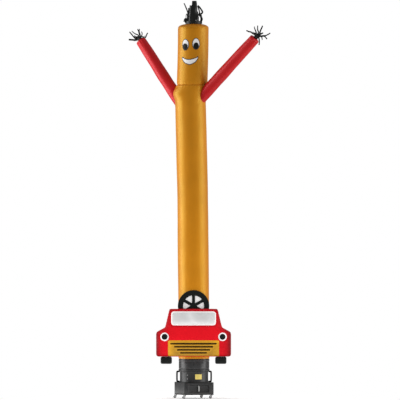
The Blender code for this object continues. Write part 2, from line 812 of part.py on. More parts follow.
def spare_wheel(into, cutters):
    near = CAR_LOW_BACK
    front = near + 0.0140

    def turned(name, profile, slot):
        rings = []
        for radius, depth in profile:
            ring = circle(radius, 0, 36)
            rings.append([Vector((WHEEL_X + point.x, -depth, WHEEL_Z + point.y)) for point in ring])
        points = [point for ring in rings for point in ring]
        sides = 36
        faces = []
        for row in range(len(rings) - 1):
            for step in range(sides):
                beside = (step + 1) % sides
                low = row * sides
                faces.append((low + step, low + beside, low + sides + beside, low + sides + step))
        first = len(points)
        points.append(Vector((WHEEL_X, -profile[0][1], WHEEL_Z)))
        points.append(Vector((WHEEL_X, -profile[-1][1], WHEEL_Z)))
        last = (len(rings) - 1) * sides
        for step in range(sides):
            beside = (step + 1) % sides
            faces.append((first, beside, step))
            faces.append((last + step, last + beside, first + 1))
        return solid(name, points, faces, slot, into)

    turned("wheel_face", ((WHEEL_FACE_RADIUS, near), (WHEEL_FACE_RADIUS, near + 0.002)), "white_cloth")
    back = near + 0.0025
    wheel = turned(
        "spare_wheel",
        (
            (WHEEL_RADIUS - 0.006, back),
            (WHEEL_RADIUS, back + 0.004),
            (WHEEL_RADIUS - 0.002, front - 0.003),
            (WHEEL_RADIUS - 0.012, front),
            (WHEEL_OPENING + 0.014, front),
            (WHEEL_OPENING + 0.006, front - 0.004),
        ),
        "black_cloth",
    )
    points = []
    faces = []
    inset = math.asin(WHEEL_SPOKE / 2 / WHEEL_OPENING)
    for gap in range(6):
        start = math.radians(30 + 60 * gap)
        corners = [(WHEEL_SPOKE, start + math.radians(30))]
        for step in range(6):
            turn = start + inset + (math.radians(60) - 2 * inset) * step / 5
            corners.append((WHEEL_OPENING, turn))
        first = len(points)
        for depth in (near - 0.02, near + 0.05):
            for radius, turn in corners:
                x = WHEEL_X + radius * math.cos(turn)
                points.append(Vector((x, -depth, WHEEL_Z + radius * math.sin(turn))))
        count = len(corners)
        faces.append(tuple(range(first, first + count)))
        faces.append(tuple(range(first + 2 * count - 1, first + count - 1, -1)))
        for step in range(count):
            beside = (step + 1) % count
            faces.append((first + beside, first + step, first + count + step, first + count + beside))
    cutter = solid("wheel_gaps", points, faces, None, cutters)
    combine(wheel, cutter, "DIFFERENCE")


# ---- fan unit


def fan_unit(into, cutters):
    lathe(
        "outlet_duct",
        (
            (0.2275, 0.700),
            (0.2275, 0.596),
            (0.2335, 0.588),
            (0.2335, 0.570),
            (DUCT_RADIUS, 0.566),
            (DUCT_RADIUS, BAND_HIGH + SEW_GAP),
            (0.2245, BAND_HIGH + SEW_GAP),
            (0.2245, 0.700),
        ),
        TUBE_SIDES,
        "duct_plastic",
        into,
    )
    lathe(
        "joint_band",
        (
            (0.2345, BAND_HIGH - 0.003),
            (0.2345, DRUM_HIGH + SEW_GAP),
            (0.2060, DRUM_HIGH + SEW_GAP),
            (0.2060, BAND_HIGH),
            (0.2315, BAND_HIGH),
        ),
        TUBE_SIDES,
        "dark_plastic",
        into,
    )
    low = UNIT_HIGH + SEW_GAP
    lathe(
        "fan_drum",
        (
            (BEAD_RADIUS, DRUM_HIGH),
            (BEAD_RADIUS, DRUM_HIGH - 0.012),
            (DRUM_RADIUS, DRUM_HIGH - 0.018),
            (DRUM_RADIUS, low + 0.018),
            (BEAD_RADIUS, low + 0.012),
            (BEAD_RADIUS, low),
            (0.2080, low),
            (0.2080, DRUM_HIGH),
        ),
        TUBE_SIDES,
        "dark_plastic",
        into,
    )
    unit = box(
        "housing",
        (UNIT_SIDE, UNIT_SIDE, UNIT_HIGH - UNIT_LOW),
        (0, 0, (UNIT_HIGH + UNIT_LOW) / 2),
        "dark_plastic",
        into,
        turn=TURN,
    )
    recess = box(
        "housing_recess",
        (RECESS[0], RECESS[1] * 2, RECESS[2]),
        (0, -UNIT_SIDE / 2, RECESS_Z),
        None,
        cutters,
        turn=TURN,
    )
    combine(unit, recess, "DIFFERENCE")
    rounding = unit.modifiers.new("Rounded edges", "BEVEL")
    rounding.width = 0.008
    rounding.segments = 1
    rounding.limit_method = "ANGLE"
    box(
        "base_plate",
        (PLATE_SIDE, PLATE_SIDE, PLATE_HIGH - PLATE_LOW),
        (0, 0, (PLATE_HIGH + PLATE_LOW) / 2),
        "dark_plastic",
        into,
        bevel=0.003,
        turn=TURN,
    )
    grip = bar_along(
        "panel_grip",
        (
            (RECESS[1] - 0.0005, 0.112),
            (0.010, 0.112),
            (0.004, 0.120),
            (0.004, 0.182),
            (0.010, 0.190),
            (RECESS[1] - 0.0005, 0.190),
        ),
        0.009,
        0.022,
        "duct_plastic",
        into,
    )
    # The bar is bent in its own XZ plane, so it turns to stand across the front of the unit.
    grip.rotation_euler = (0, 0, TURN + math.pi / 2)
    front = UNIT_SIDE / 2
    grip.location = (FAN_X + front * math.sin(TURN), FAN_Y - front * math.cos(TURN), 0)

    def drum_place(arc, height, off):
        turn = arc / DRUM_RADIUS
        radius = DRUM_RADIUS + off
        return Vector((radius * math.sin(turn), -radius * math.cos(turn), height))

    middle = TURN * DRUM_RADIUS
    stations = [(middle - 0.053 + 0.106 * step / 6, 0.293, 0.369) for step in range(7)]
    padded_between(
        "rating_label",
        stations,
        1,
        lambda arc, height: drum_place(arc, height, 0.0020),
        lambda arc, height: drum_place(arc, height, 0.0010),
        "label_film",
        into,
    )
    turn = math.radians(-27.6)
    outwards = Vector((math.sin(turn), -math.cos(turn), 0))
    for index, height in enumerate((0.354, 0.301), 1):
        middle = outwards * (DRUM_RADIUS + 0.0024) + Vector((0, 0, height))
        rod(f"drum_screw_{index}", 0.006, 0.004, middle, outwards, 12, "steel", into)
    for name, facing in (("handle_right", 0.0), ("handle_left", math.pi)):
        handle = bar_along(
            name,
            (
                (BEAD_RADIUS + 0.0006, UNIT_HIGH + 0.007),
                (0.252, UNIT_HIGH + 0.007),
                (0.263, UNIT_HIGH + 0.018),
                (0.263, DRUM_HIGH - 0.017),
                (0.252, DRUM_HIGH - 0.006),
                (BEAD_RADIUS + 0.0006, DRUM_HIGH - 0.006),
            ),
            0.011,
            0.030,
            "dark_plastic",
            into,
        )
        handle.rotation_euler = (0, 0, facing)


def casters(into, cutters):
    half = UNIT_SIDE / 2 * CASTER_INSET
    inner = CASTER_WHEEL_WIDTH / 2 + CASTER_GAP
    outer = inner + CHEEK
    top = 0.0530
    under = 0.0485
    for index, (right, back) in enumerate(((-1, -1), (1, -1), (1, 1), (-1, 1)), 1):
        x = half * (right * math.cos(TURN) - back * math.sin(TURN))
        y = half * (right * math.sin(TURN) + back * math.cos(TURN))
        swivel = (FAN_X + x, FAN_Y + y, 0)
        loop = (
            (-outer, 0.0150),
            (-inner, 0.0150),
            (-inner, under),
            (inner, under),
            (inner, 0.0150),
            (outer, 0.0150),
            (outer, top),
            (-outer, top),
        )
        points = []
        for lean, along in ((1, 0.013), (0, -0.034)):
            for across, height in loop:
                # The cheeks slope back to the axle.
                back_off = lean * 0.020 * (top - height) / top
                points.append(Vector((along - back_off, across, height)))
        faces = [tuple(range(8)), tuple(range(15, 7, -1))]
        for step in range(8):
            beside = (step + 1) % 8
            faces.append((beside, step, 8 + step, 8 + beside))
        fork = solid(f"caster_fork_{index}", points, faces, "steel", into)
        fork.location = swivel
        stem = rod(f"caster_stem_{index}", 0.010, 0.0070, (0, 0, 0.0515), (0, 0, 1), 8, None, cutters)
        stem.location = swivel
        combine(fork, stem, "UNION")
        axle = rod(
            f"caster_axle_{index}",
            AXLE_RADIUS,
            2 * outer + 0.003,
            (-CASTER_TRAIL, 0, CASTER_WHEEL_RADIUS),
            (0, 1, 0),
            8,
            None,
            cutters,
        )
        axle.location = swivel
        combine(fork, axle, "UNION")
        wide = CASTER_WHEEL_WIDTH / 2
        radius = CASTER_WHEEL_RADIUS
        wheel = lathe(
            f"caster_wheel_{index}",
            (
                (AXLE_RADIUS + 0.0006, wide),
                (0.008, wide),
                (radius - 0.002, wide - 0.002),
                (radius, wide - 0.005),
                (radius, -wide + 0.005),
                (radius - 0.002, -wide + 0.002),
                (0.008, -wide),
                (AXLE_RADIUS + 0.0006, -wide),
            ),
            20,
            "wheel_rubber",
            into,
        )
        wheel.rotation_euler = (math.pi / 2, 0, 0)
        wheel.location = (swivel[0] - CASTER_TRAIL, swivel[1], CASTER_WHEEL_RADIUS)


def build():
    clear_scene()
    parts = collection("air_dancer")
    cutters = collection("cutters")
    tube = cloth_tube("body_tube", TUBE_LEVELS, "gold_cloth", parts)
    cloth_tube("head_tube", HEAD_LEVELS, "gold_cloth", parts)
    crown(parts)
    face(parts)
    tree = outer_tree()
    left, right = [arm(spec, tree, tube, parts, cutters) for spec in ARM_SPECS]
    streamers("streamers_left", left, STREAMERS_LEFT, parts, cutters)
    streamers("streamers_right", right, STREAMERS_RIGHT, parts, cutters)
    hair(parts, cutters)
    car(parts)
    tyres(parts)
    spare_wheel(parts, cutters)
    fan_unit(parts, cutters)
    casters(parts, cutters)


build()
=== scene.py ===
"""Air dancer on its fan unit: finished cloth, stitching, padded car panel, blower and a pale stage.

Metres, +Z up, the face looks along -Y. Heights are from the floor. Other places are from the fan axis,
which stands at (FAN_X, FAN_Y).
"""
import contextlib
import functools
import json
import math

import bmesh
import bpy
from mathutils import Matrix, Vector, noise
from mathutils.bvhtree import BVHTree

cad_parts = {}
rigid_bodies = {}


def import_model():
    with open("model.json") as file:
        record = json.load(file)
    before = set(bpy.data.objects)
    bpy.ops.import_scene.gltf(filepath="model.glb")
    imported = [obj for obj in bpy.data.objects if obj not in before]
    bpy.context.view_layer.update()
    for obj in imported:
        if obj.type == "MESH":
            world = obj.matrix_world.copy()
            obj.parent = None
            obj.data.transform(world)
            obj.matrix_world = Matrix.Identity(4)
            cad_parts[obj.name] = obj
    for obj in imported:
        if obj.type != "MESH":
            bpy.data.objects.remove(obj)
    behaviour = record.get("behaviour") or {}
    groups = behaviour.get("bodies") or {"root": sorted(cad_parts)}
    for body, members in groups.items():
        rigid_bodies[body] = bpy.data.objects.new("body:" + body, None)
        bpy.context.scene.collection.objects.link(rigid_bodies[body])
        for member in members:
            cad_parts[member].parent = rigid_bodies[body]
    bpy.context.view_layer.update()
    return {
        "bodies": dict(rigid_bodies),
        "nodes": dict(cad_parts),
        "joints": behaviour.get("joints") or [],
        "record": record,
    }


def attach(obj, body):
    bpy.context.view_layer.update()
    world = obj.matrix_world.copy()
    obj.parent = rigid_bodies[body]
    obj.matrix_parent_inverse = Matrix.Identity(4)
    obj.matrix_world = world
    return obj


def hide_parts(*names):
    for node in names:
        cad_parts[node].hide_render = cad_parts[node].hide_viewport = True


bl_info = {
    "name": "Air Dancer",
    "version": (1, 0, 0),
    "blender": (4, 5, 0),
    "location": "View3D > Sidebar > Air Dancer",
    "description": "Builds the cloth, the padded panel and the fan unit of an inflatable air dancer",
    "category": "Object",
}

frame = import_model()

ROOT = "dancer_on_unit"
FAN_X = -0.0795
FAN_Y = 0.029
AXIS = Vector((FAN_X, FAN_Y, 0.0))
UP = Vector((0, 0, 1))
SAME_PLACE = 1e-6
SIMULATED_FRAMES = 20
WHITE_LIGHT = (1, 1, 1, 1)
# Pitch of the threads and of the ripstop squares, and the length of one wave at texture scale 1
THREAD_PITCH = 0.0011
RIPSTOP_PITCH = 0.0065
WAVE_LENGTH = 2 * math.pi / 20

# ---- sizes

TUBE_RADIUS = 0.234
CUFF_RADIUS = 0.2306
CUFF_Z = 0.605
CUFF_TOP_Z = 0.72
NECK_Z = 4.76
NECK_PINCH = 0.007
NECK_SPREAD = 0.03
HEAD_TOP_Z = 5.62
CROWN_TOP_Z = 5.69
VENT_X = -0.004
SEW_GAP = 0.0005
SEAM_HEIGHTS = (NECK_Z + 0.011, NECK_Z - 0.012, CUFF_Z + 0.014)
SEAM_OFF = 0.0004
SEAM_POINTS = 360
TUBE_COLUMNS = 144
TUBE_CELL = 2 * math.pi * TUBE_RADIUS / TUBE_COLUMNS
TUBE_LEVELS = (
    # from, to, pitch
    (CUFF_Z, 0.80, 0.0075),
    (0.80, 4.20, 0.05),
    (4.20, 4.66, 0.012),
    (4.66, NECK_Z, 0.0045),
)
HEAD_LEVELS = ((NECK_Z + SEW_GAP, 4.85, 0.0045), (4.85, HEAD_TOP_Z, 0.02))
BACK_SEAM = (0.62, 4.745, 0.03)
CROWN_STEP = 0.006
CROWN_PROFILE = (
    # radius, height, centre
    (0.2340, HEAD_TOP_Z + SEW_GAP, -0.011),
    (0.2280, 5.6415, -0.0105),
    (0.2060, 5.6620, -0.009),
    (0.1600, 5.6800, -0.006),
    (0.1060, 5.690, -0.004),
)
# Sideways place of the tube's centre line at each height
LEAN = (
    # height, offset
    (0.605, 0.0),
    (1.61, -0.0065),
    (2.34, -0.014),
    (3.07, -0.021),
    (3.55, -0.033),
    (4.04, -0.044),
    (4.41, -0.053),
    (4.60, -0.055),
    (4.76, -0.032),
    (4.97, -0.023),
    (5.29, -0.014),
    (5.62, -0.011),
)
SWELL = 0.040
SWELL_Z = 4.64
SWELL_HEIGHT = 0.084
SWELL_AZIMUTH = math.radians(201)
SWELL_SPREAD = 0.62

ARM_HOLE = 0.074
ARM_HOLE_DEPTH = 0.16
ARM_HOLES_LOW = 4.3
PULL_REACH = 0.42
ARM_COLUMNS = 80
ARM_CELL = 2 * math.pi * 0.088 / ARM_COLUMNS
ARM_RADII = (
    # share of length, radius
    (0.0, 0.089),
    (0.13, 0.092),
    (0.24, 0.0895),
    (0.38, 0.091),
    (0.54, 0.0875),
    (0.72, 0.0855),
    (0.88, 0.082),
    (1.0, 0.0775),
)
HAND_END = (
    # distance past the wrist, radius
    (0.0, 0.0775),
    (0.009, 0.071),
    (0.017, 0.052),
    (0.020, 0.026),
)
ARM_SPECS = (
    # name, root azimuth, root height, reach x, y, z, gap at the root
    ("arm_left", 153, 4.59, -0.540, 0.330, 0.8475, 0.0024),
    ("arm_right", -27, 4.62, 0.758, -0.386, 0.829, 0.0017),
)

PATCH_SHARES = (0.0, 0.12, 0.25, 0.38, 0.5, 0.62, 0.72, 0.82, 0.9, 0.95, 0.98, 1.0)
SATIN_PROFILE = (
    # share of half the width, height
    (-1.0, -0.0004),
    (-0.74, 0.0008),
    (0.0, 0.0015),
    (0.74, 0.0008),
    (1.0, -0.0004),
    (0.0, -0.0008),
)
FACE_GAP = 0.0012
FACE_LAYER_GAP = 0.0008
EYE_SPECS = (
    # name, arc from the middle, height, half width, half height, cloth, layer
    ("eye_left", -0.1238, 5.369, 0.055, 0.084, "white_cloth", 0),
    ("eye_right", 0.0434, 5.382, 0.056, 0.085, "white_cloth", 0),
    ("pupil_left", -0.1270, 5.338, 0.041, 0.048, "black_cloth", 1),
    ("pupil_right", 0.0440, 5.349, 0.038, 0.050, "black_cloth", 1),
)
MOUTH = (
    # arc, lower edge, upper edge
    (-0.1775, 5.158, 5.184),
    (-0.1457, 5.113, 5.166),
    (-0.110, 5.087, 5.150),
    (-0.075, 5.075, 5.146),
    (-0.0345, 5.071, 5.147),
    (0.0336, 5.104, 5.166),
    (0.060, 5.138, 5.180),
    (0.0775, 5.166, 5.194),
)

CAR_X = -0.007
CAR_OUTLINE = (
    # height, half width
    (0.640, 0.5385),
    (0.6488, 0.5597),
    (0.670, 0.5685),
    (0.985, 0.5685),
    (1.0154, 0.5586),
    (1.0838, 0.4332),
    (1.340, 0.3735),
    (1.3607, 0.3650),
    (1.3695, 0.3440),
)
CAR_LOW, CAR_HIGH = CAR_OUTLINE[0][0], CAR_OUTLINE[-1][0]
CAR_COLUMNS = 150
CAR_LOW_BACK = 0.2347
CAR_HIGH_BACK = 0.2515
CAR_BACK_ROUND = 0.022
CAR_EDGE_BACK = CAR_HIGH_BACK + CAR_BACK_ROUND
CAR_RIM = 0.022
CAR_CROWN = 0.062
CAR_PUFF = 0.008
CAR_PRESSURE = 4.0
CAR_PATCH_GAP = 0.0014
CAR_LAYER_GAP = 0.0010
CAR_PATCHES = (
    # name, middle x, middle z, half width, half height, corner, layer, cloth
    ("windscreen_border", -0.007, 1.2205, 0.3390, 0.1055, 0.044, 0, "white_cloth"),
    ("windscreen", -0.005, 1.2180, 0.3245, 0.0895, 0.030, 1, "grey_cloth"),
    ("grille_panel", -0.007, 0.7680, 0.3870, 0.1190, 0.016, 0, "gold_cloth"),
    ("grille_bar_1", -0.007, 0.837, 0.353, 0.0115, 0.006, 1, "bar_cloth"),
    ("grille_bar_2", -0.007, 0.7905, 0.296, 0.0115, 0.006, 1, "bar_cloth"),
    ("grille_bar_3", -0.007, 0.744, 0.251, 0.0115, 0.006, 1, "bar_cloth"),
    ("grille_bar_4", -0.007, 0.6975, 0.205, 0.0115, 0.006, 1, "bar_cloth"),
    ("headlight_ring_left", -0.446, 0.9414, 0.064, 0.064, 0.064, 0, "white_cloth"),
    ("headlight_left", -0.446, 0.9414, 0.045, 0.045, 0.045, 1, "black_cloth"),
    ("headlight_ring_right", 0.4325, 0.9414, 0.064, 0.064, 0.064, 0, "white_cloth"),
    ("headlight_right", 0.4325, 0.9414, 0.045, 0.045, 0.045, 1, "black_cloth"),
)
PATCH_THREADS = {"white_cloth": "white_thread", "grey_cloth": "white_thread", "gold_cloth": "gold_thread"}
TYRES = (("tyre_left", -0.421), ("tyre_right", 0.406))
TYRE_SIZE = (0.172, 0.074, 0.110)
TYRE_Z = 0.5845
WHEEL_X = -0.007
WHEEL_Z = 1.408
WHEEL_RADIUS = 0.239
WHEEL_OPENING = 0.158
WHEEL_SPOKE = 0.046
WHEEL_FACE_RADIUS = 0.172
WHEEL_THICKNESS = 0.0115
WHEEL_EDGE = 0.003

TURN = math.radians(18.7)
UNIT_SIDE = 0.473
UNIT_LOW = 0.0675
UNIT_HIGH = 0.2475
PLATE_SIDE = 0.478
PLATE_LOW = 0.0555
PLATE_HIGH = 0.067
RECESS = (0.32, 0.026, 0.106)
RECESS_Z = 0.149
DUCT_RADIUS = 0.2315
DRUM_RADIUS = 0.215
BEAD_RADIUS = 0.2200
DRUM_HIGH = 0.4175
BAND_HIGH = 0.4455
SCREW_AZIMUTH = math.radians(-117.6)
SCREW_HEIGHTS = (0.354, 0.301)
LABEL_WIDTH = 0.106
LABEL_LOW, LABEL_HIGH = 0.293, 0.369
DRUM_LOW = UNIT_HIGH + SEW_GAP
BAND_LOW = DRUM_HIGH + SEW_GAP
DUCT_LOW = BAND_HIGH + SEW_GAP
LATHED = (
    # node, finish, corners as (radius, height)
    (
        "outlet_duct",
        "duct_plastic",
        (
            (0.2275, 0.700),
            (0.2275, 0.597),
            (0.2345, 0.590),
            (0.2345, 0.573),
            (0.2290, 0.569),
            (0.2290, 0.562),
            (DUCT_RADIUS, 0.558),
            (DUCT_RADIUS, BAND_HIGH + 0.012),
            (0.2285, BAND_HIGH + 0.009),
            (0.2285, DUCT_LOW),
            (0.2245, DUCT_LOW),
            (0.2245, 0.700),
        ),
    ),
    (
        "joint_band",
        "dark_plastic",
        (
            (0.2355, BAND_HIGH - 0.005),
            (0.2355, BAND_LOW + 0.004),
            (0.2320, BAND_LOW),
            (0.2060, BAND_LOW),
            (0.2060, BAND_HIGH),
            (0.2315, BAND_HIGH),
        ),
    ),
    (
        "fan_drum",
        "dark_plastic",
        (
            (BEAD_RADIUS, DRUM_HIGH),
            (BEAD_RADIUS, DRUM_HIGH - 0.012),
            (DRUM_RADIUS, DRUM_HIGH - 0.018),
            (DRUM_RADIUS, DRUM_LOW + 0.018),
            (BEAD_RADIUS, DRUM_LOW + 0.012),
            (BEAD_RADIUS, DRUM_LOW),
            (0.2080, DRUM_LOW),
            (0.2080, DRUM_HIGH),
        ),
    ),
)
LATHE_SIDES = 160
# Width and depth of the bars, and their middle lines as (depth or radius, height)
GRIP_SIZE = (0.009, 0.020)
HANDLE_SIZE = (0.025, 0.030)
GRIP_PATH = (
    (RECESS[1] - 0.0005, 0.111),
    (0.012, 0.113),
    (0.0055, 0.124),
    (0.0040, 0.151),
    (0.0055, 0.178),
    (0.012, 0.189),
    (RECESS[1] - 0.0005, 0.191),
)
HANDLE_PATH = (
    (BEAD_RADIUS + 0.0006, UNIT_HIGH + 0.009),
    (0.248, UNIT_HIGH + 0.011),
    (0.2585, UNIT_HIGH + 0.023),
    (0.2585, DRUM_HIGH - 0.022),
    (0.248, DRUM_HIGH - 0.010),
    (BEAD_RADIUS + 0.0006, DRUM_HIGH - 0.008),
)

CASTER_INSET = 0.9
CASTER_TRAIL = 0.022
CASTER_WHEEL_RADIUS = 0.0225
CASTER_WHEEL_WIDTH = 0.0184
AXLE_RADIUS = 0.003

FLOOR_RADIUS = 2.4
FLOOR_Z = -0.0006
CAMERA_X = 0.011
CAMERA_Z = 3.014

LAMPS = (
    # name, its power in the settings, place, size x, size y, seen in reflections
    ("left_strip", "left_power", (-6.0, -0.1, 3.7), 4.8, 9.0, True),
    ("right_strip", "right_power", (5.6, -1.15, 4.1), 4.2, 9.6, True),
    ("low_fill", "low_power", (0.0, -2.9, 0.85), 1.2, 0.6, False),
)

# ---- streamers and hair: the strips stand from a knot of cloth or from the ring round the vent

KNOB = (
    # distance past the wrist, radius
    (0.004, 0.0253),
    (0.0235, 0.0253),
    (0.034, 0.031),
    (0.062, 0.034),
    (0.082, 0.024),
)
KNOB_COLUMNS = 48
STREAMER_WIDTH = 1.25
# Sideways and height from the middle of the wrist, in mm, and the depth there of root and tip
STREAMERS_RIGHT = (
    # width, depth of root, depth of tip, points
    (18, -42, -60, ((40, 48), (-5, 71), (-50, 102), (-88, 111), (-122, 128))),
    (16, -26, -34, ((38, 48), (30, 86), (18, 125), (2, 163), (2, 188))),
    (16, -10, -6, ((42, 50), (61, 102), (49, 140), (49, 204))),
    (17, -34, -44, ((44, 44), (76, 76), (91, 125), (109, 163), (125, 201))),
    (20, -2, 8, ((38, 42), (94, 76), (134, 93))),
    (15, -18, -16, ((34, 36), (71, 33), (117, 49), (170, 52), (216, 74), (239, 90))),
    (15, -46, -74, ((42, 42), (102, 36), (140, 41), (167, 26), (190, -5))),
    (16, -36, -50, ((44, 44), (66, 20), (74, -35), (71, -93))),
    (14, 2, 30, ((40, 44), (20, 84), (-14, 92), (-36, 78))),
    (14, -48, -86, ((40, 40), (18, 66), (-14, 76), (-22, 108))),
    (14, -6, 26, ((44, 44), (88, 52), (112, 24), (118, -14))),
)
STREAMERS_LEFT = (
    # width, depth of root, depth of tip, points
    (16, 34, 56, ((-26, 44), (-76, 35), (-114, 68), (-137, 96), (-160, 123), (-178, 144))),
    (15, 26, 20, ((-30, 46), (-46, 94), (-84, 111), (-119, 134), (-144, 160))),
    (15, 10, -14, ((-28, 44), (-68, 49), (-102, 88))),
    (15, 18, 30, ((-26, 44), (-11, 60), (-26, 103), (-40, 157), (-55, 187))),
    (14, 2, -10, ((-26, 46), (-14, 70), (-18, 110), (-30, 149), (-26, 190))),
    (15, 10, 4, ((-26, 44), (24, 50), (65, 58), (82, 96), (100, 129))),
    (22, 44, 66, ((-30, 40), (-76, 20), (-137, 23), (-190, 27))),
    (16, 42, 80, ((-28, 44), (-60, 66), (-78, 40), (-112, 6))),
    (14, -4, -30, ((-26, 44), (-56, 70), (-92, 60), (-112, 74))),
    (14, 40, 70, ((-26, 48), (6, 84), (14, 122), (2, 150))),
    (14, -2, -24, ((-26, 42), (4, 70), (40, 66), (62, 84))),
)
HAIR_RING = 0.116
HAIR_LOW = CROWN_TOP_Z + 0.0008
HAIR_HIGH = 5.735
RUFF_COLUMNS = 120
RUFF_PROFILE = (
    # height, radius
    (HAIR_LOW, 0.126),
    (5.705, 0.1265),
    (5.720, 0.1255),
    (HAIR_HIGH - 0.004, 0.1235),
    (HAIR_HIGH, 0.119),
    (HAIR_HIGH, 0.112),
    (HAIR_HIGH - 0.004, 0.107),
    (HAIR_LOW, 0.1055),
)
# Each strip stands in the ring at this azimuth, counted from +X towards +Y. Its points are sideways
# and depth from the vent's middle and height above the ring, in mm.
HAIR = (
    # azimuth, turned to the front, widths, points
    (270, False, (60, 74, 84, 84, 70), ((0, -114, 50), (4, -104, 130), (10, -96, 220), (8, -92, 304))),
    (242, False, (42, 46, 52, 50), ((-52, -92, 48), (-46, -76, 130), (-42, -70, 236))),
    (298, False, (38, 36, 40, 38), ((48, -92, 50), (36, -72, 130), (36, -62, 226))),
    (203, True, (22, 20, 18, 18, 18), ((-96, -60, 40), (-84, -62, 84), (-102, -54, 160), (-148, -40, 268))),
    (222, True, (20, 20, 18, 18), ((-82, -74, 60), (-80, -66, 120), (-76, -62, 196))),
    (
        326,
        True,
        (30, 28, 26, 24, 24, 24, 24, 22, 20),
        (
            (124, -66, 26),
            (104, -62, 66),
            (78, -58, 96),
            (108, -56, 106),
            (133, -54, 132),
            (114, -52, 172),
            (86, -50, 212),
            (62, -50, 236),
        ),
    ),
    (8, False, (40, 40, 38, 30), ((120, 16, 44), (118, 14, 82), (98, 12, 112))),
    (32, False, (36, 34, 30, 26), ((104, 64, 46), (100, 62, 90), (80, 54, 122))),
    (58, False, (40, 42, 44, 38), ((62, 102, 50), (56, 94, 104), (52, 84, 150))),
    (86, False, (44, 50, 54, 52, 44), ((6, 118, 50), (4, 106, 120), (4, 92, 180), (2, 82, 214))),
    (114, False, (40, 42, 44, 38), ((-52, 106, 50), (-50, 96, 110), (-48, 84, 160))),
    (140, False, (36, 34, 32, 26), ((-92, 78, 44), (-94, 74, 90), (-84, 64, 124))),
    (164, False, (36, 34, 32, 26), ((-116, 34, 44), (-118, 32, 80), (-106, 28, 112))),
    (184, True, (40, 44, 46, 40), ((-116, -26, 24), (-128, -36, 14), (-140, -40, -16))),
    (348, True, (26, 24, 20, 18), ((112, -30, 44), (92, -40, 96), (84, -46, 150), (64, -48, 222))),
)


# ---- settings that a user would change


# What every colour has besides its name, description and default
COLOUR = {"subtype": "COLOR", "size": 3, "min": 0, "max": 1}


class AirDancerCloth(bpy.types.PropertyGroup):
    """Colours and sizes of the cloth."""

    gold: bpy.props.FloatVectorProperty(
        name="Tube gold", description="Colour of the tube, the head and the grille",
        default=(0.54, 0.182, 0.006), **COLOUR,
    )
    red: bpy.props.FloatVectorProperty(
        name="Red", description="Colour of the arms", default=(0.50, 0.006, 0.007), **COLOUR
    )
    # Lighter copy of the arms' red: painted light for the brighter light on the car panel
    car_red: bpy.props.FloatVectorProperty(
        name="Car red", description="Colour of the padded car panel", default=(0.66, 0.006, 0.013), **COLOUR
    )
    black: bpy.props.FloatVectorProperty(
        name="Black", description="Colour of the streamers, the hair, the tyres and the wheel",
        default=(0.0065, 0.0080, 0.0072), **COLOUR,
    )
    white: bpy.props.FloatVectorProperty(
        name="White", description="Colour of the eyes, the mouth and the windscreen's border",
        default=(0.86, 0.85, 0.84), **COLOUR,
    )
    thickness: bpy.props.FloatProperty(
        name="Cloth thickness", description="Thickness of the tube and arm cloth",
        default=0.0025, min=0.001, max=0.003, unit="LENGTH",
    )
    patch: bpy.props.FloatProperty(
        name="Patch thickness", description="Thickness of a sewn-on patch",
        default=0.0015, min=0.0005, max=0.003, unit="LENGTH",
    )
    crease: bpy.props.FloatProperty(
        name="Crease depth", description="Depth of the soft creases at the seams",
        default=0.0042, min=0.0, max=0.008, unit="LENGTH",
    )


class AirDancerSewing(bpy.types.PropertyGroup):
    """Sizes of the thread and the stitches."""

    pitch: bpy.props.FloatProperty(
        name="Stitch pitch", description="Distance from one stitch to the next",
        default=0.0065, min=0.003, max=0.02, unit="LENGTH",
    )
    length: bpy.props.FloatProperty(
        name="Stitch length", description="Length of the thread that shows in a stitch",
        default=0.0048, min=0.001, max=0.02, unit="LENGTH",
    )
    thread: bpy.props.FloatProperty(
        name="Thread radius", description="Half the thickness of the sewing thread",
        default=0.0006, min=0.0001, max=0.002, unit="LENGTH",
    )


class AirDancerUnit(bpy.types.PropertyGroup):
    """Colours and sizes of the fan unit."""

    dark: bpy.props.FloatVectorProperty(
        name="Housing grey", description="Colour of the moulded housing and the drum",
        default=(0.0105, 0.0105, 0.0110), **COLOUR,
    )
    duct: bpy.props.FloatVectorProperty(
        name="Duct grey", description="Colour of the outlet duct",
        default=(0.0195, 0.0195, 0.0200), **COLOUR,
    )
    label: bpy.props.FloatVectorProperty(
        name="Label yellow", description="Colour of the bare label", default=(0.60, 0.47, 0.115), **COLOUR
    )
    edge: bpy.props.FloatProperty(
        name="Edge radius", description="Rounding of the housing's edges",
        default=0.009, min=0.001, max=0.02, unit="LENGTH",
    )


class AirDancerStage(bpy.types.PropertyGroup):
    """The light, the floor and the camera."""

    distance: bpy.props.FloatProperty(
        name="Camera distance", description="Distance of the camera from the fan axis",
        default=100.0, min=5.0, max=160.0, unit="LENGTH",
    )
    view_height: bpy.props.FloatProperty(
        name="Height in view", description="Height of the picture where the object stands",
        default=6.08, min=1.0, max=12.0, unit="LENGTH",
    )
    left_power: bpy.props.FloatProperty(
        name="Left strip", description="Power of the strip light on the left",
        default=500.0, min=0.0, unit="POWER",
    )
    right_power: bpy.props.FloatProperty(
        name="Right strip", description="Power of the strip light on the right",
        default=330.0, min=0.0, unit="POWER",
    )
    low_power: bpy.props.FloatProperty(
        name="Low fill", description="Power of the small soft light in front of the car panel",
        default=20.0, min=0.0, unit="POWER",
    )
    fill: bpy.props.FloatProperty(
        name="Ambient", description="Strength of the even light from all round",
        default=0.49, min=0.0, max=2.0,
    )
    reflection: bpy.props.FloatProperty(
        name="Reflected ambient", description="Share of the even light that glossy surfaces reflect",
        default=0.55, min=0.0, max=1.0, subtype="FACTOR",
    )


# ---- curves and tables


def between(table, at):
    """Value of a two-column table at this place, on straight lines between its rows."""
    if at <= table[0][0]:
        return table[0][1]
    for (start, low), (end, high) in zip(table, table[1:]):
        if at <= end:
            return low + (high - low) * (at - start) / (end - start)
    return table[-1][1]


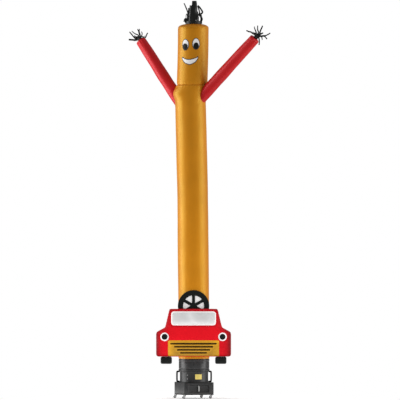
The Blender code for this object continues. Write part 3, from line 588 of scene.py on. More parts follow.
def eased(table, at):
    """Value of a two-column table at this place, on a smooth curve through its rows."""
    if at <= table[0][0]:
        return table[0][1]
    if at >= table[-1][0]:
        return table[-1][1]
    row = next(index for index in range(1, len(table)) if at <= table[index][0])
    (start, low), (end, high) = table[row - 1], table[row]
    before = table[max(row - 2, 0)]
    after = table[min(row + 1, len(table) - 1)]
    wide = end - start
    slope_low = (high - before[1]) / (end - before[0]) * wide
    slope_high = (after[1] - low) / (after[0] - start) * wide
    t = (at - start) / wide
    return (
        low * (2 * t**3 - 3 * t**2 + 1)
        + slope_low * (t**3 - 2 * t**2 + t)
        + high * (3 * t**2 - 2 * t**3)
        + slope_high * (t**3 - t**2)
    )


def smooth_path(points, step):
    """The points joined by a smooth curve, about this far apart."""
    fine = []
    for index in range(len(points) - 1):
        before = points[max(index - 1, 0)]
        here, there = points[index], points[index + 1]
        after = points[min(index + 2, len(points) - 1)]
        count = max(2, round((there - here).length / step))
        for part in range(count):
            t = part / count
            fine.append(
                (
                    2 * here
                    + (there - before) * t
                    + (2 * before - 5 * here + 4 * there - after) * t**2
                    + (3 * here - before - 3 * there + after) * t**3
                )
                / 2
            )
    return fine + [points[-1].copy()]


def beside(path, index, closed=False):
    """The points before and after this one, or the point itself at an open end."""
    if closed:
        return path[index - 1], path[(index + 1) % len(path)]
    return path[max(index - 1, 0)], path[min(index + 1, len(path) - 1)]


def heading(path, index, closed=False):
    before, after = beside(path, index, closed)
    return (after - before).normalized()


def steps(low, high, pitch):
    count = max(1, round((high - low) / pitch))
    return [low + (high - low) * index / count for index in range(count + 1)]


def whole_turn(count):
    """Angles of this many points evenly spaced round a circle."""
    return [2 * math.pi * index / count for index in range(count)]


def polar(radius, turn, height, x=0.0):
    """Point at this distance from an upright line through x, turned from +X towards +Y."""
    return Vector((x + radius * math.cos(turn), radius * math.sin(turn), height))


def outwards(turn):
    return polar(1.0, turn, 0.0)


def clamped(value, low=0, high=1):
    return min(max(value, low), high)


def ramp(value, start, length):
    """0 up to the start, 1 from this length further on."""
    return clamped((value - start) / length)


def ripple(*place):
    """Soft repeatable noise from -1 to 1."""
    return noise.noise(Vector(place))


def bell(distance, spread):
    return math.exp(-((distance / spread) ** 2))


def angle_apart(a, b):
    return math.remainder(a - b, 2 * math.pi)


# ---- meshes


def linked(name, data):
    """Object with this data, linked to the scene."""
    obj = bpy.data.objects.new(name, data)
    bpy.context.scene.collection.objects.link(obj)
    return obj


@contextlib.contextmanager
def editing(mesh):
    """Edit mesh of this mesh, written back to it at the end."""
    grid = bmesh.new()
    grid.from_mesh(mesh)
    yield grid
    grid.to_mesh(mesh)
    grid.free()


def new_piece(name, mesh, material, body=ROOT, slot=None, smooth=35):
    """Object of this mesh, riding on its body, with edges sharper than this angle kept sharp."""
    obj = linked(name, mesh)
    mesh.materials.clear()
    mesh.materials.append(material)
    mesh.polygons.foreach_set("use_smooth", [True] * len(mesh.polygons))
    mesh.set_sharp_from_angle(angle=math.radians(smooth))
    mesh.update()
    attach(obj, body)
    return obj


def piece_for(node, name, mesh, slot, finish=None, **more):
    """Piece that takes the place of a solid, in the finish of its slot unless another is named."""
    obj = new_piece(name, mesh, stock(finish or slot), slot=slot, **more)
    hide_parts(node)
    return obj


def moulded(node, mesh, slot, finish=None):
    return piece_for(node, node + "_moulded", mesh, slot, finish)


def closed_mesh(name, points, faces, corners):
    """Mesh of these faces, doubles merged, loose points dropped and normals facing out."""
    mesh = bpy.data.meshes.new(name)
    mesh.from_pydata([tuple(AXIS + point) for point in points], [], faces)
    layer = mesh.uv_layers.new(name="UVMap")
    for loop, pair in zip(layer.data, corners):
        loop.uv = pair
    with editing(mesh) as grid:
        loose = [vert for vert in grid.verts if not vert.link_faces]
        bmesh.ops.delete(grid, geom=loose, context="VERTS")
        bmesh.ops.remove_doubles(grid, verts=grid.verts, dist=SAME_PLACE)
        if grid.calc_volume(signed=True) < 0:
            bmesh.ops.reverse_faces(grid, faces=grid.faces)
    return mesh


def shell_mesh(name, outer, inner, uv, closed=False, kept=None):
    """Closed sheet between two grids of points, with its edges and the edges of its holes turned in.

    uv(row, column) is the place on the cloth in metres. kept(row, column) says which cells are cloth.
    """
    rows = len(outer)
    columns = len(outer[0])
    cells = columns if closed else columns - 1
    layer = rows * columns

    def cloth(row, column):
        if closed:
            column %= cells
        elif not 0 <= column < cells:
            return False
        return 0 <= row < rows - 1 and (kept is None or kept(row, column))

    def corner(place, side):
        return side * layer + place[0] * columns + place[1] % columns

    faces = []
    corners = []
    for row in range(rows - 1):
        for column in range(cells):
            if not cloth(row, column):
                continue
            quad = [(row, column), (row, column + 1), (row + 1, column + 1), (row + 1, column)]
            for side, around in enumerate((quad, quad[::-1])):
                faces.append([corner(place, side) for place in around])
                corners += [uv(*place) for place in around]
            neighbours = ((row - 1, column), (row, column + 1), (row + 1, column), (row, column - 1))
            for edge, neighbour in enumerate(neighbours):
                if cloth(*neighbour):
                    continue
                here, there = quad[edge], quad[(edge + 1) % 4]
                faces.append([corner(there, 0), corner(here, 0), corner(here, 1), corner(there, 1)])
                corners += [uv(*there), uv(*here), uv(*here), uv(*there)]
    points = [point for grid in (outer, inner) for row in grid for point in row]
    return closed_mesh(name, points, faces, corners)


def rings_mesh(name, rings, closed=False, cap=False):
    """Surface through rings of points. closed joins the last ring to the first; cap fills both ends."""
    sides = len(rings[0])
    count = len(rings)
    faces = []
    corners = []
    along = 0.0
    for row in range(count if closed else count - 1):
        after = (row + 1) % count
        step = (rings[after][0] - rings[row][0]).length
        for side in range(sides):
            next_side = (side + 1) % sides
            wide = (rings[row][next_side] - rings[row][side]).length
            low, high = row * sides, after * sides
            faces.append((low + side, low + next_side, high + next_side, high + side))
            left, right = side * wide, (side + 1) * wide
            corners += [(left, along), (right, along), (right, along + step), (left, along + step)]
        along += step
    points = [point for ring in rings for point in ring]
    if cap:
        faces.append(tuple(range(sides - 1, -1, -1)))
        faces.append(tuple(range((count - 1) * sides, count * sides)))
        for ring in (rings[0][::-1], rings[-1]):
            corners += [(point.x, point.y) for point in ring]
    return closed_mesh(name, points, faces, corners)


def rounded_profile(profile, radius, count=3):
    """The closed loop of (radius, height) with each corner cut round."""
    rounded = []
    corners = [Vector(corner) for corner in profile]
    for index, here in enumerate(corners):
        before, after = beside(corners, index, closed=True)
        reach = min(radius, (before - here).length * 0.45, (after - here).length * 0.45)
        start = here + (before - here).normalized() * reach
        end = here + (after - here).normalized() * reach
        for step in range(count + 1):
            t = step / count
            rounded.append(start * (1 - t) ** 2 + here * (2 * t * (1 - t)) + end * t**2)
    return rounded


def turned(name, profile, sides, rounding):
    """Ring turned about the fan axis from a closed loop of (radius, height), with soft corners."""
    rings = [
        [polar(radius, turn, height) for turn in whole_turn(sides)]
        for radius, height in rounded_profile(profile, rounding)
    ]
    return rings_mesh(name, rings, closed=True)


def swept(name, path, facings, profile):
    """Band along a closed path: profile is a loop of (across, out), out along the facing of each point."""
    rings = []
    for index, point in enumerate(path):
        ahead = heading(path, index, closed=True)
        across = ahead.cross(facings[index]).normalized()
        out = across.cross(ahead)
        rings.append([point + across * a + out * b for a, b in profile])
    return rings_mesh(name, rings, closed=True)


def block_mesh(name, size, middle):
    """Square block of this size round this place."""
    mesh = bpy.data.meshes.new(name)
    with editing(mesh) as grid:
        bmesh.ops.create_cube(grid, size=1.0)
        bmesh.ops.scale(grid, vec=size, verts=grid.verts)
        bmesh.ops.translate(grid, vec=middle, verts=grid.verts)
    return mesh


def solid_copy(obj, name=None):
    """Plain mesh of the object with its modifiers applied; the object goes when the mesh has a name."""
    bpy.context.view_layer.update()
    graph = bpy.context.evaluated_depsgraph_get()
    mesh = bpy.data.meshes.new_from_object(obj.evaluated_get(graph), depsgraph=graph)
    mesh.transform(obj.matrix_world)
    if name:
        bpy.data.objects.remove(obj, do_unlink=True)
        mesh.name = name
    return mesh


def with_modifiers(name, mesh, *modifiers):
    """The mesh after these modifiers, each given as (type, settings)."""
    obj = linked(name, mesh)
    for kind, settings in modifiers:
        modifier = obj.modifiers.new(kind.title(), kind)
        for key, value in settings.items():
            setattr(modifier, key, value)
    return solid_copy(obj, name)


def puffed(name, mesh, pressure, cap, held):
    """The mesh blown up as cloth from inside, no point moved further than cap; held says which points stay."""
    scene = bpy.context.scene
    obj = linked(name, mesh)
    seam = obj.vertex_groups.new(name="held")
    seam.add([vert.index for vert in mesh.vertices if held(vert.co - AXIS)], 1.0, "REPLACE")
    modifier = obj.modifiers.new("Cloth", "CLOTH")
    modifier.point_cache.frame_start = 1
    modifier.point_cache.frame_end = SIMULATED_FRAMES
    modifier.settings.vertex_group_mass = seam.name
    modifier.settings.use_pressure = True
    modifier.settings.uniform_pressure_force = pressure
    modifier.settings.effector_weights.gravity = 0.0
    for frame in range(1, SIMULATED_FRAMES + 1):
        scene.frame_set(frame)
    made = solid_copy(obj)
    scene.frame_set(1)
    for vert, start in zip(made.vertices, mesh.vertices):
        move = vert.co - start.co
        vert.co = start.co + move * min(1.0, cap / max(move.length, 1e-9))
    bpy.data.objects.remove(obj, do_unlink=True)
    return made


def facing_out(mesh):
    with editing(mesh) as grid:
        bmesh.ops.remove_doubles(grid, verts=grid.verts, dist=SAME_PLACE)
        bmesh.ops.recalc_face_normals(grid, faces=grid.faces)
    return mesh


def soften(mesh, rounds):
    """Relaxes the mesh: each point moves half way to the middle of its neighbours."""
    with editing(mesh) as grid:
        for _ in range(rounds):
            bmesh.ops.smooth_vert(
                grid, verts=grid.verts, factor=0.5, use_axis_x=True, use_axis_y=True, use_axis_z=True
            )


def tree_of(obj):
    """Search tree over the object's mesh, in places from the fan axis."""
    points = [vert.co - AXIS for vert in obj.data.vertices]
    return BVHTree.FromPolygons(points, [tuple(face.vertices) for face in obj.data.polygons])


# ---- geometry node trees


def node_group(name, **inputs):
    """Empty geometry tree with these inputs: numbers by their defaults, or None for a material."""
    tree = bpy.data.node_groups.new(name, "GeometryNodeTree")
    tree.is_modifier = True
    tree.interface.new_socket("Geometry", in_out="INPUT", socket_type="NodeSocketGeometry")
    for label, default in inputs.items():
        kind = "NodeSocketMaterial" if default is None else "NodeSocketFloat"
        socket = tree.interface.new_socket(label.replace("_", " "), in_out="INPUT", socket_type=kind)
        if default is not None:
            socket.default_value = default
    tree.interface.new_socket("Geometry", in_out="OUTPUT", socket_type="NodeSocketGeometry")
    start, end = tree.nodes.new("NodeGroupInput"), tree.nodes.new("NodeGroupOutput")
    return tree, start.outputs, end.inputs["Geometry"]


def feed(tree, node, inputs):
    """Sets inputs of the node by name, each to a value or to the socket that feeds it."""
    for label, value in inputs.items():
        socket = node.inputs[label.replace("_", " ")]
        if isinstance(value, bpy.types.NodeSocket):
            tree.links.new(value, socket)
        else:
            socket.default_value = value


def add_node(tree, kind, settings=None, **inputs):
    node = tree.nodes.new(kind)
    for key, value in (settings or {}).items():
        setattr(node, key, value)
    feed(tree, node, inputs)
    return node


def stored(tree, name, kind="FLOAT_VECTOR"):
    """The value stored under this name on each point."""
    node = add_node(tree, "GeometryNodeInputNamedAttribute", {"data_type": kind}, Name=name)
    return node.outputs["Attribute"]


def curve_with_facing(tree, geometry):
    """The input's edges as curves whose normals are the stored facings."""
    curve = add_node(tree, "GeometryNodeMeshToCurve", Mesh=geometry).outputs["Curve"]
    facing = stored(tree, "facing")
    aimed = add_node(tree, "GeometryNodeSetCurveNormal", {"mode": "FREE"}, Curve=curve, Normal=facing)
    return aimed.outputs["Curve"]


def real_copies(tree, places, rotation, ball, radius, height):
    """The ball copied to each place, scaled to this radius and height, as plain geometry."""
    size = add_node(tree, "ShaderNodeCombineXYZ", X=radius, Y=radius, Z=height)
    placed = add_node(
        tree,
        "GeometryNodeInstanceOnPoints",
        Points=places.outputs["Points"],
        Instance=ball.outputs["Mesh"],
        Rotation=rotation,
        Scale=size.outputs[0],
    )
    real = add_node(tree, "GeometryNodeRealizeInstances", Geometry=placed.outputs["Instances"])
    return real.outputs["Geometry"]


def end_tree(tree, geometry, material, end):
    coloured = add_node(tree, "GeometryNodeSetMaterial", Geometry=geometry, Material=material)
    tree.links.new(coloured.outputs["Geometry"], end)
    return tree


def stitch_tree(name):
    """Rows of stitches along the edges of a mesh."""
    tree, start, end = node_group(name, Pitch=0.006, Stitch_length=0.0045, Thread_radius=0.0006, Thread=None)
    curve = curve_with_facing(tree, start["Geometry"])
    places = add_node(tree, "GeometryNodeCurveToPoints", {"mode": "LENGTH"}, Curve=curve, Length=start["Pitch"])
    bead = add_node(tree, "GeometryNodeMeshUVSphere", Segments=6, Rings=4, Radius=1.0)
    half = add_node(tree, "ShaderNodeMath", {"operation": "MULTIPLY"})
    tree.links.new(start["Stitch length"], half.inputs[0])
    half.inputs[1].default_value = 0.5
    rotation = places.outputs["Rotation"]
    beads = real_copies(tree, places, rotation, bead, start["Thread radius"], half.outputs[0])
    soft = add_node(tree, "GeometryNodeSetShadeSmooth", Geometry=beads)
    return end_tree(tree, soft.outputs["Geometry"], start["Thread"], end)


def strip_tree(name):
    """Cut strips of cloth along the edges of a mesh, each as wide as the stored width of its points."""
    tree, start, end = node_group(name, Thickness=0.0015, Curl=0.12, Cloth=None)
    width = stored(tree, "width", "FLOAT")
    bend = add_node(tree, "ShaderNodeCombineXYZ", X=start["Curl"], Y=0.0, Z=0.0)
    profile = add_node(
        tree,
        "GeometryNodeCurveQuadraticBezier",
        Resolution=6,
        Start=(0.0, -0.5, 0.0),
        Middle=bend.outputs[0],
        End=(0.0, 0.5, 0.0),
    )
    curve = curve_with_facing(tree, start["Geometry"])
    face = add_node(
        tree, "GeometryNodeCurveToMesh", Curve=curve, Profile_Curve=profile.outputs["Curve"], Scale=width
    ).outputs["Mesh"]
    raised = add_node(
        tree,
        "GeometryNodeExtrudeMesh",
        {"mode": "FACES"},
        Mesh=face,
        Offset_Scale=start["Thickness"],
        Individual=False,
    )
    back = add_node(tree, "GeometryNodeFlipFaces", Mesh=face)
    both = add_node(tree, "GeometryNodeJoinGeometry")
    tree.links.new(raised.outputs["Mesh"], both.inputs["Geometry"])
    tree.links.new(back.outputs["Mesh"], both.inputs["Geometry"])
    sewn = add_node(tree, "GeometryNodeMergeByDistance", Geometry=both.outputs["Geometry"], Distance=0.00001)
    real = add_node(tree, "GeometryNodeRealizeInstances", Geometry=sewn.outputs["Geometry"])
    return end_tree(tree, real.outputs["Geometry"], start["Cloth"], end)


def screw_tree(name):
    """Slotless round-headed screws on the points of a mesh, aimed by the stored facing."""
    tree, start, end = node_group(name, Head_radius=0.006, Head_height=0.004, Steel=None)
    places = add_node(tree, "GeometryNodeMeshToPoints", Mesh=start["Geometry"])
    facing = stored(tree, "facing")
    aim = add_node(tree, "FunctionNodeAlignRotationToVector", {"axis": "Z"}, Vector=facing).outputs["Rotation"]
    dome = add_node(tree, "GeometryNodeMeshUVSphere", Segments=24, Rings=12, Radius=1.0)
    heads = real_copies(tree, places, aim, dome, start["Head radius"], start["Head height"])
    return end_tree(tree, heads, start["Steel"], end)


def grown(name, lines, make, tree_name, **values):
    """Plain mesh that the tree makes from guide lines, with its inputs set by name.

    A line is (points, facings, widths, closed). Its facings and widths are stored on the guide's points.
    """
    points, facings, widths, edges = [], [], [], []
    for line, looks, wide, closed in lines:
        first = len(points)
        points += [tuple(AXIS + point) for point in line]
        for look in looks:
            facings += list(look)
        widths += list(wide)
        edges += [(first + index, first + index + 1) for index in range(len(line) - 1)]
        if closed:
            edges.append((first + len(line) - 1, first))
    guide = bpy.data.meshes.new(name + "_guide")
    guide.from_pydata(points, edges, [])
    guide.attributes.new("facing", "FLOAT_VECTOR", "POINT").data.foreach_set("vector", facings)
    guide.attributes.new("width", "FLOAT", "POINT").data.foreach_set("value", widths)
    tree = bpy.data.node_groups.get(tree_name) or make(tree_name)
    obj = linked(name, guide)
    modifier = obj.modifiers.new(tree_name, "NODES")
    modifier.node_group = tree
    for item in tree.interface.items_tree:
        label = item.name.replace(" ", "_")
        if item.item_type == "SOCKET" and item.in_out == "INPUT" and label in values:
            modifier[item.identifier] = values[label]
    return solid_copy(obj, name)


def stitched(name, lines, thread):
    """Piece made of rows of stitches. Each line is (points, facings, closed)."""
    sewing = bpy.context.scene.air_dancer_sewing
    material = stock(thread)
    mesh = grown(
        name,
        [(line, looks, [1.0] * len(line), closed) for line, looks, closed in lines],
        stitch_tree,
        "Stitch rows",
        Pitch=sewing.pitch,
        Stitch_length=sewing.length,
        Thread_radius=sewing.thread,
        Thread=material,
    )
    return new_piece(name, mesh, material)


# ---- materials


def shade(colour, share):
    return tuple(min(1.0, channel * share) for channel in colour)


class Finish:
    """Material in the making, with the nodes that most finishes share."""

    def __init__(self, name):
        self.made = bpy.data.materials.new(name)
        self.made.use_nodes = True
        self.tree = self.made.node_tree
        self.space = self.tree.nodes.new("ShaderNodeTexCoord").outputs["Object"]

    def node(self, kind, settings=None, **inputs):
        return add_node(self.tree, kind, settings, **inputs)

    def noise(self, scale, detail, roughness, stretch=None, place=None):
        """Noise of this many waves a metre; stretch squeezes it along each axis."""
        place = place or self.space
        if stretch:
            place = self.node("ShaderNodeMapping", Vector=place, Scale=stretch).outputs["Vector"]
        return self.node(
            "ShaderNodeTexNoise", Vector=place, Scale=scale, Detail=detail, Roughness=roughness
        ).outputs["Fac"]

    def combined(self, operation, first, second):
        node = self.node("ShaderNodeMath", {"operation": operation})
        self.tree.links.new(first, node.inputs[0])
        self.tree.links.new(second, node.inputs[1])
        return node.outputs[0]

    def mixed(self, factor, first, second):
        node = self.node("ShaderNodeMix", {"data_type": "RGBA"})
        for socket, value in zip((node.inputs[0], node.inputs[6], node.inputs[7]), (factor, first, second)):
            if isinstance(value, bpy.types.NodeSocket):
                self.tree.links.new(value, socket)
            else:
                socket.default_value = (*value, 1.0)
        return node.outputs[2]

    def ranged(self, value, low, high, to_low=0.0, to_high=1.0):
        node = self.node(
            "ShaderNodeMapRange", Value=value, From_Min=low, From_Max=high, To_Min=to_low, To_Max=to_high
        )
        return node.outputs["Result"]

    def bumped(self, height, distance, strength, normal=None):
        node = self.node("ShaderNodeBump", Height=height, Distance=distance, Strength=strength)
        if normal:
            self.tree.links.new(normal, node.inputs["Normal"])
        return node.outputs["Normal"]

    def done(self, **inputs):
        feed(self.tree, self.tree.nodes["Principled BSDF"], inputs)
        return self.made


def woven_cloth(name, colour, roughness, sheen, crinkle, level, glint, painted_light_colour=None):
    """Woven nylon: threads and ripstop squares on the piece's own cloth map, soft crinkles and uneven dye.

    The last argument, when given, is the colour of the painted light (a painted shade or a painted highlight)
    that the piece's stored value fades to.
    """
    made = Finish(name)
    flat = made.node("ShaderNodeUVMap").outputs["UV"]
    dye = made.ranged(made.noise(2.2, 4.0, 0.55), 0.3, 0.7)
    base = made.mixed(dye, shade(colour, 0.92), shade(colour, 1.08))
    slubs = made.ranged(made.noise(60.0, 2.0, 0.6, (1.0, 9.0, 1.0), flat), 0.35, 0.65, 0.0, 0.08)
    base = made.mixed(slubs, base, shade(colour, 0.72))
    dust = made.ranged(made.noise(9.0, 6.0, 0.65), 0.58, 0.80, 0.0, 0.05)
    base = made.mixed(dust, base, shade(colour, 0.80))
    # Painted light: the colour fades by the stored value to a painted shade or a painted highlight
    if painted_light_colour:
        painted_light_share = made.node("ShaderNodeAttribute", {"attribute_name": "airbrush"}).outputs["Fac"]
        base = made.mixed(painted_light_share, base, painted_light_colour)
    waves = [
        made.node(
            "ShaderNodeTexWave", {"bands_direction": direction}, Vector=flat, Scale=WAVE_LENGTH / pitch
        ).outputs["Fac"]
        for pitch in (THREAD_PITCH, RIPSTOP_PITCH)
        for direction in "XY"
    ]
    weave = made.combined("MULTIPLY", waves[0], waves[1])
    squares = made.combined("MAXIMUM", *(made.ranged(wave, 0.93, 1.0) for wave in waves[2:]))
    normal = made.bumped(made.noise(11.0, 5.0, 0.6), 0.006, crinkle)
    normal = made.bumped(squares, 0.0002, 0.06, normal)
    normal = made.bumped(weave, 0.00012, 0.06, normal)
    return made.done(
        Base_Color=base,
        Roughness=made.ranged(made.noise(5.0, 5.0, 0.6), 0.3, 0.7, roughness - 0.06, roughness + 0.08),
        Normal=normal,
        Sheen_Weight=sheen,
        Sheen_Roughness=0.35,
        Sheen_Tint=(*glint, 1),
        Specular_IOR_Level=level,
        Specular_Tint=(*glint, 1),
    )


def moulded_plastic(name, colour, roughness, level=0.5):
    """Moulded plastic with a fine grain, rubbed patches, scuffs and dust that gathers low down."""
    made = Finish(name)
    cloud = made.noise(7.0, 5.0, 0.6)
    base = made.mixed(made.ranged(cloud, 0.3, 0.7), shade(colour, 0.86), shade(colour, 1.16))
    scuff = made.noise(38.0, 8.0, 0.75, (1.0, 1.0, 0.35))
    base = made.mixed(made.ranged(scuff, 0.62, 0.80, 0.0, 0.30), base, shade(colour, 2.0))
    height = made.node("ShaderNodeSeparateXYZ", Vector=made.space).outputs["Z"]
    base = made.mixed(made.ranged(height, 0.06, 0.16, 0.18, 0.0), base, (0.10, 0.095, 0.09))
    grain = made.node("ShaderNodeTexVoronoi", Vector=made.space, Scale=620.0).outputs["Distance"]
    return made.done(
        Base_Color=base,
        Specular_IOR_Level=level,
        Roughness=made.ranged(scuff, 0.35, 0.75, roughness - 0.03, roughness + 0.10),
        Normal=made.bumped(cloud, 0.002, 0.05, made.bumped(grain, 0.0003, 0.25)),
    )


def zinc_steel(name):
    """Zinc-plated steel with drawn streaks, dull patches and a little rust."""
    made = Finish(name)
    cloud = made.ranged(made.noise(60.0, 4.0, 0.6), 0.3, 0.7)
    base = made.mixed(cloud, (0.36, 0.36, 0.37), (0.58, 0.58, 0.57))
    spots = made.ranged(made.noise(190.0, 5.0, 0.7), 0.66, 0.76, 0.0, 0.7)
    streak = made.noise(90.0, 4.0, 0.7, (1.0, 1.0, 12.0))
    return made.done(
        Base_Color=made.mixed(spots, base, (0.14, 0.07, 0.035)),
        Metallic=0.9,
        Roughness=made.ranged(streak, 0.3, 0.7, 0.28, 0.52),
        Normal=made.bumped(streak, 0.0002, 0.3),
    )


def caster_rubber(name):
    """Grey-black tyre rubber with rubbed, dusty flats."""
    made = Finish(name)
    cloud = made.noise(120.0, 5.0, 0.6)
    return made.done(
        Base_Color=made.mixed(made.ranged(cloud, 0.35, 0.65), (0.018, 0.018, 0.019), (0.055, 0.053, 0.050)),
        Roughness=made.ranged(cloud, 0.3, 0.7, 0.55, 0.85),
        Normal=made.bumped(made.noise(900.0, 3.0, 0.6), 0.0002, 0.4),
    )


def label_film(name, colour):
    """Bare printed film: slightly mottled, faded at random and lightly scratched."""
    made = Finish(name)
    fade = made.ranged(made.noise(22.0, 4.0, 0.6), 0.3, 0.7)
    scratch = made.noise(240.0, 4.0, 0.7, (1.0, 1.0, 0.1))
    return made.done(
        Base_Color=made.mixed(fade, shade(colour, 0.88), shade(colour, 1.12)),
        Roughness=made.ranged(scratch, 0.3, 0.7, 0.30, 0.48),
        Normal=made.bumped(scratch, 0.0001, 0.3),
    )


def sewing_thread(name, colour):
    """Thread with a slanting twist."""
    made = Finish(name)
    twist = made.node(
        "ShaderNodeTexWave", {"bands_direction": "DIAGONAL"}, Vector=made.space, Scale=260.0
    ).outputs["Fac"]
    return made.done(
        Base_Color=made.mixed(twist, shade(colour, 0.75), shade(colour, 1.1)),
        Roughness=0.55,
        Sheen_Weight=0.2,
        Normal=made.bumped(twist, 0.0002, 0.5),
    )


def stock(name):
    """The finish of this name, made when it is first asked for."""
    label = name + "_finish"
    if label in bpy.data.materials:
        return bpy.data.materials[label]
    cloth = bpy.context.scene.air_dancer_cloth
    unit = bpy.context.scene.air_dancer_unit
    # The grille's gold cloth in painted shade, lifted again by its painted highlight
    grille_gold_in_painted_shade = (0.25, 0.118, 0.011)
    plain = (1.0, 1.0, 1.0)
    finishes = {
        # maker, colour, roughness, sheen, crinkle, specular level, tint of the highlights, painted light colour
        # (shade on the car, highlight on the grille and the windscreen)
        "gold_cloth": (woven_cloth, cloth.gold, 0.40, 0.0, 0.05, 1.0, (1.0, 0.90, 0.14)),
        # Grille: gold in painted shade, fading to a painted highlight colour
        "grille_cloth": (woven_cloth, grille_gold_in_painted_shade, 0.42, 0.0, 0.2, 0.5, (1.0, 0.85, 0.30), (0.66, 0.33, 0.02)),
        "red_cloth": (woven_cloth, cloth.red, 0.42, 0.0, 0.05, 1.0, (1.0, 0.26, 0.30)),
        # Car panel: lighter red as painted light, fading to a painted shade colour
        "car_cloth": (woven_cloth, cloth.car_red, 0.45, 0.0, 0.3, 0.3, (1.0, 0.2, 0.25), (0.20, 0.004, 0.006)),
        "black_cloth": (woven_cloth, cloth.black, 0.40, 0.02, 0.3, 0.18, plain),
        "strip_cloth": (woven_cloth, cloth.black, 0.30, 0.03, 0.6, 0.34, plain),
        "white_cloth": (woven_cloth, cloth.white, 0.50, 0.05, 0.2, 0.3, plain),
        # Windscreen: grey print fading to a painted highlight colour
        "grey_cloth": (woven_cloth, (0.57, 0.57, 0.57), 0.50, 0.05, 0.2, 0.3, plain, (0.72, 0.72, 0.72)),
        "bar_cloth": (woven_cloth, (0.012, 0.005, 0.001), 0.50, 0.0, 0.2, 0.1, (1.0, 0.8, 0.5)),
        # maker, colour
        "satin_edge": (sewing_thread, (0.055, 0.022, 0.006)),
        "gold_thread": (sewing_thread, (0.50, 0.17, 0.01)),
        "dark_thread": (sewing_thread, (0.10, 0.03, 0.02)),
        "black_thread": (sewing_thread, (0.012, 0.011, 0.011)),
        "white_thread": (sewing_thread, (0.80, 0.78, 0.75)),
        "label_film": (label_film, unit.label),
        # maker, colour, roughness, specular level
        "dark_plastic": (moulded_plastic, unit.dark, 0.36),
        "duct_plastic": (moulded_plastic, unit.duct, 0.28),
        "handle_plastic": (moulded_plastic, (0.006, 0.006, 0.006), 0.70, 0.12),
        "grip_plastic": (moulded_plastic, (0.30, 0.30, 0.29), 0.35),
        "steel": (zinc_steel,),
        "wheel_rubber": (caster_rubber,),
    }
    make, *values = finishes[name]
    return make(label, *values)


# ---- tube, head and crown


@functools.cache
def arm_line(spec):
    """Root on the tube, direction, sideways, upwards and length of an arm."""
    azimuth, height, x, y, z = spec[1:6]
    root = plain_tube_point(height, math.radians(azimuth))
    ahead = Vector((x, y, z)).normalized()
    side = ahead.cross(UP).normalized()
    return root, ahead, side, side.cross(ahead), Vector((x, y, z)).length


def from_arm(point, spec):
    """How far along the arm's line the point is, and the way to it from that line."""
    root, ahead = arm_line(spec)[:2]
    along = (point - root).dot(ahead)
    return along, point - root - ahead * along


def arm_out(spec, turn):
    """Direction square to the arm's line."""
    side, up = arm_line(spec)[2:4]
    return side * math.cos(turn) + up * math.sin(turn)


def plain_radius(height, azimuth):
    """Radius of the tube without its creases."""
    radius = CUFF_RADIUS + (TUBE_RADIUS - CUFF_RADIUS) * ramp(height, CUFF_Z, CUFF_TOP_Z - CUFF_Z)
    radius -= NECK_PINCH * bell(height - NECK_Z, NECK_SPREAD)
    if height < NECK_Z + SEW_GAP / 2:
        around = bell(angle_apart(azimuth, SWELL_AZIMUTH), SWELL_SPREAD)
        radius += SWELL * around * bell(height - SWELL_Z, SWELL_HEIGHT)
    return radius


def plain_tube_point(height, azimuth):
    return polar(plain_radius(height, azimuth), azimuth, height, eased(LEAN, height))


def arm_pull(point, spec):
    """Height of the pulled folds that fan out of an arm's root, at this point of the tube."""
    along, away = from_arm(point, spec)
    distance = away.length
    if distance > PULL_REACH or along < -ARM_HOLE_DEPTH:
        return 0.0
    _, _, side, up, _ = arm_line(spec)
    around = math.atan2(away.dot(up), away.dot(side))
    folds = math.cos(7 * around + 1.6 * ripple(3 * around, spec[2], 0)) + 0.5 * math.cos(12 * around + 2)
    return folds * ramp(distance, 0.085, 0.03) * math.exp(-max(distance - 0.10, 0) / 0.075)


def tube_relief(height, azimuth, point):
    """How far the cloth stands off its plain shape."""
    crease = bpy.context.scene.air_dancer_cloth.crease
    x, y = math.cos(azimuth), math.sin(azimuth)
    from_swell = angle_apart(azimuth, SWELL_AZIMUTH)
    # Broad and finer unevenness of the blown-up cloth
    relief = 0.0032 * ripple(1.6 * x, 1.6 * y, 1.1 * height)
    relief += 0.0012 * ripple(5 * x, 5 * y, 3.5 * height + 9)
    # Pleats at the cuff and loose cloth over it
    pleats = 0.5 + 0.5 * math.sin(31 * azimuth + 3.2 * ripple(2 * x, 2 * y, 3.3))
    relief += crease * 1.1 * bell(height - 0.632, 0.030) * pleats
    relief += crease * 0.6 * bell(height - CUFF_TOP_Z, 0.055) * ripple(9 * x, 9 * y, 9 * height)
    # Gathers at the neck, its sewn groove and the roll under it
    gathers = math.sin(27 * azimuth + 3.5 * ripple(2.4 * x, 2.4 * y, 7.1))
    relief += crease * 0.42 * bell(height - NECK_Z, 0.045) * gathers
    relief -= 0.006 * bell(height - NECK_Z - 0.004, 0.006)
    relief += 0.0035 * bell(height - NECK_Z + 0.014, 0.009)
    # Slanting folds on the swell of the neck
    slant = math.sin(60 * (height - NECK_Z) - 9 * from_swell + 1.1)
    relief += crease * 0.5 * slant * bell(from_swell, 0.45) * bell(height - 4.735, 0.05)
    for spec in ARM_SPECS:
        relief += crease * 0.5 * arm_pull(point, spec)
    return relief


def tube_place(height, azimuth, off=0.0):
    """Point of the tube's or the head's cloth, this far off it."""
    relief = tube_relief(height, azimuth, plain_tube_point(height, azimuth))
    return polar(plain_radius(height, azimuth) + relief + off, azimuth, height, eased(LEAN, height))


def tube_grid(levels, off):
    return [[tube_place(height, turn, off) for turn in whole_turn(TUBE_COLUMNS)] for height in levels]


